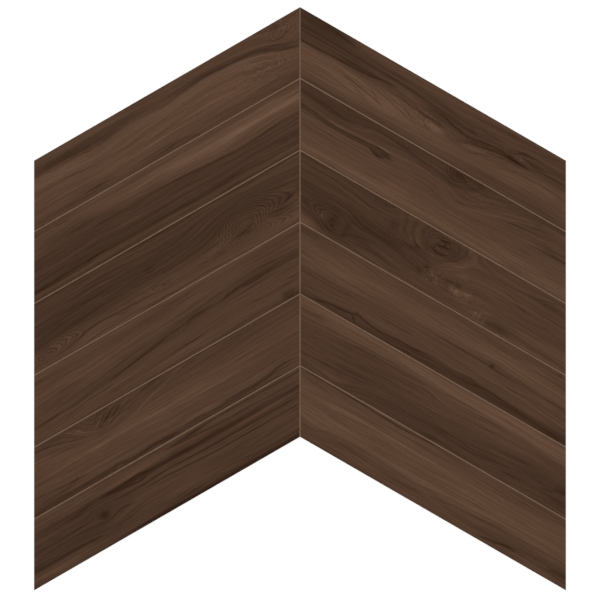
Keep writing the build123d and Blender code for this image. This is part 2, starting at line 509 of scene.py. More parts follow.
prints["left_3"] = {
    "seed": 4.9,
    "rings": (2.0, 9.0),
    "grain": [
        (1, [(0, 2), (30, 1), (60, 1.5), (220, 1)]),
        (5, [(0, 4.5), (15, 2.5), (35, 2), (50, 3.8), (65, 5.2), (90, 5.8), (115, 6), (130, 5.5), (145, 7), (160, 9),
         (172, 8), (182, 4.5), (215, 2)]),
        (14, [(-8, 15), (10, 16), (20, 22), (35, 25), (48, 21), (60, 16.5), (75, 15), (97, 15), (120, 15), (150, 13.5),
         (160, 12.2), (175, 13.5), (190, 14.8), (212, 13)]),
        (18, [(-11, 20), (0, 21.5), (10, 25), (25, 29), (38, 29.5), (50, 26), (62, 21), (75, 18.5), (97, 17.5),
         (130, 18.8), (150, 18.5), (170, 16.5), (205, 15.8)]),
        (24, [(-13, 23.5), (-5, 26), (10, 29), (25, 32), (35, 32.5), (48, 30.5), (60, 27), (75, 24.5), (97, 23.5),
         (130, 25.5), (170, 25.5), (205, 23.5)]),
        (28, [(-17, 31.5), (0, 32.5), (15, 34.5), (33, 35.3), (50, 34.5), (62, 32), (75, 28.5), (90, 27), (110, 27.5),
         (150, 29.5), (180, 28), (203, 27.5)]),
        (33, [(-17, 34), (0, 36.3), (33, 37.5), (55, 37), (70, 35.5), (82, 33), (97, 32.5), (120, 34), (150, 34.8),
         (200, 33.5)]),
        (38, [(-21, 38.5), (40, 40), (65, 40.2), (75, 38.5), (97, 38.5), (130, 40), (150, 39.8), (170, 38.8),
         (196, 38.5)]),
        (42, [(-24, 42), (60, 42), (97, 41.5), (120, 42), (195, 42)]),
    ],
    "bands": [(0, 76), (3, 84), (5.5, 82), (8, 78), (11, 80), (14, 77), (16.5, 69), (18, 66), (21, 70), (24, 68),
        (27.5, 67), (31, 70), (33.5, 67), (36.5, 75), (38.7, 70), (40.5, 74), (43.6, 66)],
    "swells": [(203, 7, 22, 6, 4, 1.6), (86, 8.5, 38, 4, 3, 2)],
    "figures": [
        (0.8, [
            (0, [(-10, 22.6), (-4, 25), (3, 28), (10, 30.4), (20, 32.8), (30, 34), (40, 33), (48, 29.6), (54, 25),
             (57, 20), (57.5, 14), (55.5, 9), (51, 5.4), (44, 3.2), (32, 1.8), (18, 2), (5, 3), (-2, 5), (-4.6, 8),
             (4, 9.4), (12, 11.6), (17.5, 13.7), (10, 14.8), (0, 15), (-8, 15.6), (-10.5, 19)]),
            (1.4, [(1.8, 22.5), (4, 24.8), (10, 27.6), (18, 30), (26, 31.4), (33, 31.8), (40, 30.8), (47, 28),
             (52.6, 24), (55.6, 20), (55.4, 16.5), (56.4, 12.6), (54.6, 9), (50, 6.4), (43, 4.4), (32, 3.2), (20, 3.4),
             (10, 4.4), (6, 5.8), (6.4, 7.6), (9, 9), (14, 10.7), (18.5, 13.6), (15, 14.6), (10, 15.4), (5.5, 17.6),
             (2.4, 20.5)]),
            (2.8, [(9.6, 23.2), (12, 25.2), (18, 27.6), (25, 29), (33, 29.6), (40, 28.2), (46, 25.8), (50.6, 22.6),
             (52, 19.6), (50.8, 17.2), (52, 14.6), (54.6, 12.6), (54, 10), (50, 7.6), (43.6, 5.6), (34, 4.4), (24, 4.6),
             (17, 6), (14.6, 7.8), (16, 9.6), (19.4, 12.6), (18.6, 14.2), (15, 15.4), (11, 18.2), (9.2, 21)]),
            (4.4, [(15, 21.5), (16.5, 23.4), (20, 25.4), (26, 27), (33, 27.4), (40, 25.8), (45, 23), (47.3, 20.2),
             (47.6, 18.6), (46.2, 17), (47, 15.2), (49, 13.4), (51.6, 12.4), (51.8, 10.8), (49, 9.2), (44, 7.4),
             (38, 6.2), (31, 6), (25, 7), (21.5, 8.6), (21.3, 10.6), (21.6, 13), (20, 14.6), (17.5, 16.5),
             (15.4, 19.5)]),
            (6.2, [(20.2, 18), (20.4, 21), (23, 23.4), (28, 24.8), (34, 24.6), (39.5, 22.6), (43.4, 19.8), (43.6, 18),
             (42.2, 16.2), (44.5, 14.6), (47.6, 13.4), (47.5, 11.6), (44.5, 9.8), (39, 8.2), (33, 7.6), (27, 8.4),
             (24, 9.8), (23, 12), (22.4, 14), (21.4, 15.8)]),
            (7.4, [(23.6, 18.5), (25, 21.4), (29, 22.9), (34, 22.7), (38.6, 20.9), (41.2, 18.6), (39.8, 16.7),
             (41.4, 15), (44.6, 13.8), (44.8, 12.4), (41.5, 10.8), (36, 9.6), (30, 9.8), (26.5, 11), (25.2, 13),
             (24.6, 15.4)]),
            (8.6, [(26.5, 18), (27, 20.5), (30, 21.7), (34.5, 21.4), (38.4, 19.8), (39.4, 18.2), (37.8, 16.7), (33, 16),
             (28.6, 16.4)]),
            (9.6, [(28.4, 18.6), (29.5, 20.3), (32.5, 20.7), (36, 19.8), (37, 18.6), (35.5, 17.5), (32, 17.1),
             (29.4, 17.5)]),
            (8.6, [(27.5, 13.4), (29, 14.9), (34, 14.9), (39, 14.1), (43.2, 13.2), (43, 12.4), (39, 11.6), (34, 11),
             (29.5, 11.6)]),
        ]),
        (0.8, [
            (0, [(60, 8), (75, 11.6), (90, 13), (105, 13), (115, 12.4), (120.5, 11), (117, 8.6), (113.6, 7.2),
             (105, 6.2), (90, 5.8), (75, 5.2)]),
            (2, [(66, 8.2), (80, 10.6), (92, 11.6), (104, 11.4), (110, 10), (110, 8.4), (104, 7.4), (90, 7),
             (76, 6.6)]),
        ]),
        (1.0, [
            (0, [(174, 9), (178, 12.4), (186, 14), (196, 14.6), (206, 14.4), (216, 13), (222, 8), (219, 3), (206, 1.8),
             (196, 3.2), (186, 5.4), (178, 7)]),
            (2, [(182, 9.6), (184, 12), (190, 13), (199, 13.3), (208, 12.6), (216, 10), (217, 6), (212, 3.4), (203, 3),
             (194, 5), (188, 7)]),
            (4, [(191, 8.6), (194, 11), (200, 11.6), (207, 11), (213, 8.6), (212, 5.6), (205, 4.4), (198, 5.4),
             (193, 6.8)]),
            (5, [(197.4, 7.6), (199, 9.3), (204, 9.6), (209, 8.4), (210.6, 7), (208, 5.9), (202, 5.8), (198.6, 6.4)]),
        ]),
    ],
    "clouds": [(150, 2.5, 30, 2, 5), (30, 3, 40, 2, 3), (10, 39, 30, 3, 5), (180, 20, 30, 5, -4)],
    "spots": [(5, 24, 13, 2.4, 6), (-14, 31, 9, 4, 4), (120, 19.5, 40, 1.4, 4), (150, 11.5, 16, 1.6, -5),
        (-10, 26.5, 9, 3.5, 7), (36, 15, 14, 4, -5), (2, 5, 9, 2.5, 5), (120, 6.5, 12, 1.8, 4), (10, 36, 40, 2.5, 3),
        (70, 0.6, 25, 1.4, 5), (150, 0.6, 25, 1.4, 5), (111, 24.9, 1.6, 0.7, -12), (159, 16.6, 0.8, 0.5, -12),
        (33, 19.3, 2.5, 1.2, 4), (38, 12.4, 8, 2, -7), (30, 22, 18, 6, -5), (5, 20, 6, 4, -4), (20, 6.5, 14, 3, 5),
        (44, 18.5, 3, 3, -4)],
    "burls": [(12, 18, 9, 6, 0.22), (40, 14, 12, 7, 0.2)],
    "streaks": [
        (9.9, 0.45, [(-8.6, 14.7), (0, 14.5), (8, 14.8), (14, 14.8), (20, 14.2), (24, 12.4)]),
        (9, 0.35, [(-5.5, 8.2), (2, 9.1), (10, 11), (15, 12.4), (20, 14)]),
        (8, 0.35, [(-6, 10.6), (2, 11.1), (10, 12.6), (19, 14)]),
        (7, 0.35, [(-7.5, 12.4), (0, 12.7), (8, 13.6), (18, 14.3)]),
        (9, 0.4, [(-11.5, 20.4), (-6, 19.6), (-1, 18.2), (2, 16.2), (4, 14.6)]),
        (8, 0.4, [(100, 25), (111, 24.9), (118, 24.6)]),
        (9, 0.4, 0.3, [(138, 26), (155, 26.2), (175, 26)]),
        (-8, 0.35, [(142, 24.9), (156, 24.8), (170, 25.4)]),
        (7, 0.4, [(104, 22.2), (110, 21.9), (118, 22)]),
        (6, 0.35, [(96, 12.9), (108, 12.8), (116, 12.2), (121, 11)]),
        (6, 0.35, [(96, 6), (106, 6), (113, 6.8), (117, 8)]),
        (6, 0.35, [(126, 6), (130, 8), (134, 10.4), (142, 11.6)]),
        (8, 0.4, 0.5, [(130, 5.6), (140, 6.2), (148, 8.4), (158, 9.2), (168, 8.6), (178, 6.6), (190, 5)]),
        (7, 0.35, [(50, 13.8), (44, 13), (36, 13.6), (30, 15)]),
    ],
}
prints["left_4"] = {
    "seed": 12.2,
    "grain": [
        (2, [(0, 2), (220, 1)]),
        (9, [(-4, 10.3), (15, 10.3), (35, 12), (50, 11.5), (65, 10.2), (80, 8.5), (97, 7.5), (120, 6), (150, 3.8),
         (190, 1.8), (218, 1.2)]),
        (14, [(-7, 13), (20, 13), (45, 14), (60, 14), (80, 13), (97, 12.5), (120, 12), (140, 10.8), (160, 9.5),
         (172, 8.6), (185, 6.5), (197, 5.2), (215, 4.5)]),
        (19, [(-10, 19.5), (20, 18.5), (40, 18.5), (70, 17.5), (90, 16), (110, 15.5), (130, 13.8), (150, 12),
         (170, 10.8), (190, 9), (214, 7.5)]),
        (25, [(-13, 25), (0, 25.8), (20, 25.5), (40, 25), (50, 23), (60, 23.5), (75, 23.5), (85, 21.5), (97, 20.5),
         (106, 19.3), (130, 16.3), (150, 13.6), (165, 12.6), (180, 11.4), (195, 11), (213, 10.3)]),
        (28, [(-15, 28), (15, 30), (40, 29), (60, 27.5), (80, 26), (97, 24.5), (110, 23), (130, 21.5), (147, 20),
         (165, 17), (180, 15), (210, 13)]),
        (32, [(-18, 31.5), (0, 31.5), (40, 31), (97, 28), (120, 27), (150, 25), (175, 23), (195, 22), (206, 21)]),
        (37, [(-21, 37), (40, 36.5), (60, 35.5), (97, 34.5), (150, 33), (200, 31)]),
        (42, [(-24, 42), (195, 41)]),
    ],
    "bands": [(0, 72), (1.5, 74), (4, 82), (7, 82), (8.5, 80), (9.3, 78), (10.5, 81), (13, 82), (16, 82), (20, 80),
        (22, 78), (24, 74), (25.5, 73), (27, 76), (28.5, 76), (30, 79), (32, 80), (34.5, 86), (37, 83), (39, 79),
        (41, 81), (43, 86), (43.6, 86)],
    "clouds": [(20, 27, 35, 3.5, -3), (75, 24, 12, 3, -5), (10, 30, 15, 2, -3), (140, 32, 60, 6, 3),
        (195, 31.5, 18, 2, -8), (205, 25, 20, 2, -5)],
    "spots": [(10, 35.6, 34, 1.8, -6), (200, 13.5, 16, 3, 5), (2, 4, 9, 2.4, -5), (110, 6.5, 14, 1.6, 4),
        (-8, 36, 30, 3, -7), (15, 20.5, 18, 3, -4), (12, 13, 16, 2.5, -4), (150, 29, 34, 3, -5), (150, 7, 20, 2, 5),
        (205, 17.5, 16, 2.2, 6), (65, 17, 13, 4, 4), (20, 3.5, 16, 2.5, 3), (56, 3.5, 14, 2, -3), (200, 7.5, 14, 2, -3),
        (6.5, 3, 4.6, 3.4, -13), (9, 4.6, 2, 2.4, -7), (60, 1.2, 10, 1.2, -8), (18, 1, 4, 0.6, -5)],
    "burls": [(5, 3, 5, 3, 0.5), (82, 20, 6, 4, 0.25)],
    "streaks": [
        (8.9, 0.7, 0.8, [(-2, 26.6), (5, 25.8), (15, 25.2), (25, 25.4), (40, 25.2), (46, 24), (52, 22.6), (58, 21.9)]),
        (6.7, 0.7, 0.6, [(12, 24), (20, 23.4), (28, 23.9), (38, 24.3)]),
        (7, 0.4, [(0, 29.6), (8, 29.8), (18, 29.8)]),
        (5.2, 0.5, 0.6, [(38, 29), (55, 28), (65, 26.8), (72, 26), (80, 25.8), (97, 25)]),
        (8.9, 1, 0.9, [(58, 24.5), (68, 23.4), (76, 22.8), (80, 21.3), (84, 18.5), (87, 16)]),
        (8.9, 0.9, 1, [(78, 22.5), (88, 21.5), (97, 20.8), (106, 19.4), (120, 17.7), (130, 16.4), (140, 14.9),
         (150, 13.6), (158, 12.8)]),
        (6, 0.4, [(100, 19.6), (120, 17.2), (140, 14.8), (152, 13.3)]),
        (13.5, 0.35, 0.4, [(63, 10.6), (68, 10), (74, 9.1), (80, 8.5), (86, 8.4), (92, 8.3), (99, 7.6)]),
        (5.2, 0.8, 0.7, [(75, 10.5), (85, 9.6), (97, 8.6), (110, 8)]),
        (7, 0.3, [(105, 22.2), (120, 22.3), (135, 20.9), (142, 20), (148, 20)]),
        (9, 0.4, 0.5, [(150, 14), (165, 12.6), (175, 11.4), (185, 10.6), (193, 10.6)]),
        (8, 0.4, 0.5, [(140, 11), (155, 10), (168, 9.3), (178, 7.8), (188, 6.4), (197, 5.6)]),
        (5.2, 0.8, 1.2, [(180, 11.6), (195, 11.2), (216, 10.4)]),
        (6.7, 0.6, [(-10, 12), (0, 13), (6, 13.2)]),
        (7, 0.3, [(-6, 10.3), (5, 10.5), (14, 10.3)]),
        (7, 0.3, [(22, 10.6), (30, 11.4), (36, 12.2)]),
        (6, 0.6, 1.6, [(158, 23), (175, 24.6), (190, 23.6), (210, 22)]),
        (6, 0.5, [(185, 39), (190, 38.6), (200, 38.2)]),
    ],
}
prints["left_5"] = {
    "seed": 15.6,
    "grain": [
        (2, [(0, 1.5), (30, 2), (60, 2), (97, 1.5), (110, 2), (120, 3), (135, 2), (147, 3.5), (160, 2.5), (218, 1)]),
        (5, [(-3, 6.5), (10, 6.5), (20, 5), (35, 4.3), (60, 3.8), (80, 4.3), (100, 4.5), (120, 5.5), (150, 5),
         (175, 4.5), (215, 4)]),
        (10, [(-5, 10), (30, 9.5), (60, 8), (97, 8), (150, 9), (170, 9), (185, 9.6), (200, 10.6), (213, 11.3)]),
        (20, [(-11, 20), (50, 19.5), (97, 20.3), (150, 21), (206, 20)]),
        (26, [(-14, 26.5), (60, 26.5), (97, 26), (130, 25.5), (150, 25.5), (170, 25), (203, 26.5)]),
        (31, [(-17, 31.5), (30, 30.5), (60, 29.5), (97, 29), (120, 28.5), (140, 27.6), (150, 27.8), (156, 29.5),
         (165, 31), (178, 33), (200, 34)]),
        (36, [(-20, 37), (20, 36), (50, 34), (75, 32.5), (97, 31.5), (115, 30), (130, 29), (145, 28.6), (152, 29),
         (156, 30.8), (165, 33.5), (175, 36.5), (185, 39), (196, 40)]),
        (40, [(-23, 41), (20, 40.5), (50, 39), (70, 38), (85, 36.5), (97, 35.3), (110, 33), (125, 30.5), (140, 29.5),
         (150, 29.6), (154, 31), (160, 36), (170, 40), (180, 42.5), (195, 43.2)]),
        (43, [(-25, 43.2), (30, 43), (60, 42), (80, 41), (97, 38.5), (108, 37.5), (120, 35), (130, 33), (145, 31),
         (152, 32), (158, 40), (165, 43.5), (195, 45)]),
        (48, [(-25, 48), (60, 47), (90, 45), (110, 42), (125, 40), (135, 37), (150, 33.5), (154, 36), (160, 46),
         (195, 50)]),
    ],
    "bands": [(0, 69), (1.5, 69), (3.2, 73), (4, 75), (5, 81), (6.5, 85), (8, 83), (10, 83), (13, 81), (16, 82),
        (18, 83), (20, 85), (22, 87), (24.5, 85), (26, 81), (27.2, 87), (29, 85), (31, 84), (33, 81), (36, 78),
        (40, 76), (42, 76), (43.6, 75)],
    "clouds": [(120, 22, 60, 6, 7), (0, 3.5, 14, 1.2, 6), (-5, 15, 30, 8, -3)],
    "spots": [(36, 1.4, 30, 1.4, 4), (145, 33.6, 9, 2.4, 7), (122, 39.6, 11, 2, 5), (206, 1.5, 11, 1.6, 7),
        (190, 40.4, 14, 2, -4), (160, 12, 22, 1.8, 3), (112, 40, 16, 4, 7), (141, 34.5, 12, 4, 8), (5, 29, 25, 3, -3),
        (70, 3.5, 13, 1.6, -4), (186, 7, 18, 2.5, -7), (180, 27, 12, 2, 4), (152, 2, 10, 1.8, 4), (3, 2, 9, 1.6, 5),
        (205, 22, 12, 3, -3), (136, 38, 9, 5, -8), (147, 34, 6, 3, -6), (100, 40, 12, 3, -5), (175, 41.5, 14, 2, -6)],
    "burls": [(138, 37, 12, 6, 0.7), (162, 38, 9, 5, 0.6)],
    "streaks": [
        (9, 0.4, [(-6, 5), (0, 5.8), (10, 6.6), (18, 5.4), (28, 4.4), (40, 3.8), (54, 3.4)]),
        (7, 0.4, [(13, 5.4), (22, 3.7), (34, 2.6), (60, 2.6)]),
        (7, 0.4, [(106, 43.8), (118, 39.6), (130, 34.4), (142, 30.8), (154, 29.2)]),
        (8, 0.4, [(114, 44.4), (126, 39.4), (138, 33.8), (153, 29.8)]),
        (9, 0.5, [(122, 44.8), (132, 39.8), (142, 34), (153, 30.2)]),
        (9, 0.5, [(130, 45), (138, 40), (146, 34.2), (153, 30.8)]),
        (-8, 0.4, [(136, 42.8), (142, 38.4), (148, 33.6), (152, 31.4)]),
        (8, 0.4, [(140, 45), (145, 40), (150, 34.6), (153, 31)]),
        (-8, 0.4, [(153, 31), (158, 36), (165, 43.8)]),
        (-7, 0.4, [(153, 30.4), (161, 36), (173, 43.8)]),
        (7, 0.4, [(153, 30), (163, 35), (176, 41.6)]),
        (11.7, 0.35, 0.4, [(-6, 6), (0, 6.3), (6, 7), (12, 7), (20, 6.1), (30, 5.2), (45, 5), (60, 5), (70, 5.2)]),
        (8.9, 0.6, 0.7, [(8, 6.2), (18, 4.8), (28, 3.6), (36, 3.4), (45, 4), (55, 3.9), (66, 3.2), (74, 3)]),
        (6, 0.8, [(70, 4.5), (85, 4), (97, 3.8)]),
        (9.6, 1.1, 1, [(90, 0.8), (110, 1.8), (120, 2.8), (130, 2.1), (140, 2), (147, 3.6), (153, 2.6), (165, 2.2),
         (185, 2.2), (225, 1.4)]),
        (6, 0.5, [(95, 2), (112, 3.2), (122, 3.6)]),
        (11.7, 0.4, 0.5, [(168, 9), (175, 9.2), (185, 9.2), (195, 10), (205, 10.8), (225, 11.6)]),
        (6.7, 0.5, [(172, 8.6), (180, 7.6), (192, 6.6), (205, 6), (225, 5.4)]),
        (4, 1.2, [(190, 8.5), (225, 8)]),
        (10.4, 0.6, [(152, 30), (158, 31.5), (165, 33.6), (175, 36.8), (185, 39), (195, 39.9), (210, 39.5)]),
        (5.2, 0.5, [(92, 41), (108, 38.2), (120, 35.4), (130, 32.5)]),
        (5.9, 1, [(122, 42.5), (127, 40), (131, 37), (134, 34)]),
        (6.7, 0.8, [(131, 43), (133, 40), (138, 36.5), (145, 34), (151, 31.8)]),
        (5, 0.8, 0.7, [(118, 30.5), (128, 29.4), (140, 28), (152, 28), (160, 28.4)]),
        (6, 0.35, [(135, 24.8), (150, 24.6), (168, 24.6)]),
        (-9, 0.5, 0.6, [(66, 43.5), (75, 41.3), (82, 39.4), (90, 37.2), (97, 35.6), (108, 32.6), (118, 29.6),
         (126, 27.6)]),
        (-5, 0.6, [(60, 7.2), (75, 6.6), (97, 6.8)]),
        (-6, 0.4, [(138, 21.5), (150, 21.3), (165, 21.4)]),
    ],
}
prints["left_6"] = {
    "seed": 19.4,
    "grain": [
        (1, [(0, 1.5), (50, 1.5), (90, 1.2), (140, 1), (218, 1)]),
        (6, [(-3, 6), (20, 5.5), (40, 6), (55, 7.2), (65, 7), (80, 6), (97, 5), (130, 4.5), (150, 4), (180, 5.5),
         (215, 6.5)]),
        (10, [(-5, 10), (30, 9.5), (60, 10.5), (97, 10), (120, 9), (140, 8.5), (150, 8), (170, 9.5), (190, 10),
         (213, 9.5)]),
        (14, [(-8, 14.5), (20, 14.5), (60, 14), (97, 14), (130, 12.5), (150, 11), (170, 12.5), (210, 12)]),
        (21, [(-11, 20.8), (30, 20.8), (60, 21.5), (85, 22.6), (97, 23.2), (120, 23.4), (140, 22.3), (150, 21.7),
         (170, 22), (206, 22.3)]),
        (26, [(-13, 25.8), (30, 26), (60, 26.1), (85, 27.2), (97, 27.2), (110, 26.3), (120, 26.2), (135, 26.5),
         (145, 27.5), (155, 27), (165, 26.3), (203, 26)]),
        (32, [(-17, 32), (30, 31.5), (60, 31.8), (97, 32), (116, 31.5), (130, 31.8), (145, 33), (157, 32.2), (180, 31),
         (200, 30.5)]),
        (36, [(-20, 35.7), (10, 36.6), (30, 37), (50, 37.6), (65, 38.3), (80, 39.4), (90, 38.5), (110, 37.5),
         (145, 36.8), (198, 36)]),
        (42, [(-23, 42), (0, 42.3), (30, 43), (45, 42.8), (58, 42.2), (68, 41.2), (80, 40.7), (95, 41), (195, 42)]),
    ],
    "bands": [(0, 54), (1.5, 58), (3, 66), (4.5, 72), (6, 73), (8, 78), (10, 76), (12, 78), (14, 75), (16, 77),
        (18, 76), (20.3, 77), (21, 73), (22, 75), (25, 76), (26, 71), (27.5, 78), (29.5, 76), (31, 68), (32.5, 66),
        (34, 72), (35.5, 82), (37, 80), (40, 78), (42, 80), (43.6, 81)],
    "eyes": [(148.2, 21.7, 4.4, 3.4, 3)],
    "knots": [(148.2, 21.7, 6.5, 5, 3.4, 0.5)],
    "clouds": [(140, 40, 60, 3, 4), (170, 20, 35, 8, -7), (150, 30, 30, 3, -5), (190, 12, 30, 3, -8),
        (215, 14, 20, 5, -8), (195, 4, 30, 3.5, 14), (170, 1, 30, 3, 14), (90, 10, 12, 2, 4), (60, 12, 15, 3, -3)],
    "spots": [(67, 39.5, 14, 1.6, -7), (78, 42.8, 10, 1.2, 6), (115, 31, 12, 1.3, -5), (8, 28, 34, 1.4, 4),
        (2, 16.5, 14, 4, 4), (68, 41, 16, 2.2, -8), (110, 36.5, 18, 1.6, 6), (25, 29.7, 45, 1.6, 5),
        (110, 32, 16, 1.4, -4), (158, 31, 15, 3, -5), (152, 18.5, 9, 2, -4), (28, 9.5, 13, 2, 4), (35, 4.5, 22, 2, -4),
        (215, 2, 8, 3, 5), (145, 7, 14, 2, -3), (148.2, 21.7, 3, 2.4, -26), (116, 33.5, 6, 1.4, -6)],
    "streaks": [
        (12, 0.5, 0.7, [(-30, 41.3), (-5, 41.5), (0, 41.7), (15, 41.9), (30, 42.1), (45, 42.1), (56, 41.7), (64, 41.1),
         (72, 40.7), (80, 40.2), (88, 40), (93, 40)]),
        (11, 0.5, 0.7, [(-28, 35.6), (-15, 35.6), (0, 36.2), (15, 36.7), (35, 37), (50, 37.6), (65, 38.4), (75, 39.2),
         (85, 39.9), (92, 40)]),
        (6.7, 0.7, [(-26, 32.2), (-15, 32), (-8, 31.6), (0, 31.5)]),
        (11.8, 1.5, 1.3, [(5, 32), (30, 31.8), (50, 31.8), (70, 32.2), (97, 32.8), (115, 33), (135, 33), (150, 33)]),
        (11.8, 0.6, [(96, 33.5), (106, 33.3), (112, 34.4), (116, 34.9), (121, 34), (128, 33), (145, 33.2), (152, 33)]),
        (11.8, 0.5, [(100, 31.3), (107, 30.6), (116, 29.9), (122, 30.6), (130, 31.5), (140, 32)]),
        (-10, 0.4, [(111, 31), (116, 30.8), (120, 31)]),
        (9, 0.4, [(150, 33.2), (158, 32.4), (166, 31.8)]),
        (8, 0.3, [(158, 31), (166, 30.6), (175, 30.8)]),
        (12, 0.4, 0.5, [(-20, 25.8), (0, 26), (25, 26), (40, 26.1), (55, 26), (70, 26.4), (85, 27.2), (97, 27.2),
         (110, 26.4), (118, 26.2), (130, 26.5), (138, 27.3), (143, 28.4)]),
        (11, 0.35, 0.4, [(-20, 20.8), (0, 20.9), (30, 20.9), (50, 21.2), (70, 21.9), (97, 23.2), (110, 23.4),
         (118, 23.4)]),
        (8, 0.4, [(75, 28.5), (85, 29), (97, 29.2)]),
        (9, 0.45, 0.5, [(120, 18.6), (132, 19), (140, 18.4), (145, 17.2), (150, 16.9), (155, 18), (160, 19.6)]),
        (6, 0.3, [(125, 19), (138, 20), (143, 20.3)]),
        (9, 0.35, [(154, 21.2), (165, 22.3), (175, 22.2), (190, 22), (212, 22.4)]),
        (7, 0.3, 0.35, [(155, 18.3), (170, 18.8), (185, 18.5), (212, 18.2)]),
        (9.6, 0.9, 1, [(150, 9.5), (165, 10), (180, 10.6), (195, 10.6), (225, 10.4)]),
        (6, 0.4, 0.5, [(125, 10.6), (135, 11), (145, 10), (155, 10.2)]),
        (10.4, 0.9, [(-6, 0.8), (15, 1), (30, 1.6), (45, 1.6), (55, 1), (75, 1), (97, 1.2), (120, 1.4), (142, 1.2)]),
        (5, 0.6, [(18, 4.6), (30, 5.4), (40, 6.4), (48, 7.2), (60, 7.6), (70, 7)]),
        (6, 0.9, [(70, 5.5), (80, 4.8), (97, 4.6)]),
        (5, 0.3, [(0, 14.8), (10, 14.8), (16, 14.6)]),
    ],
}
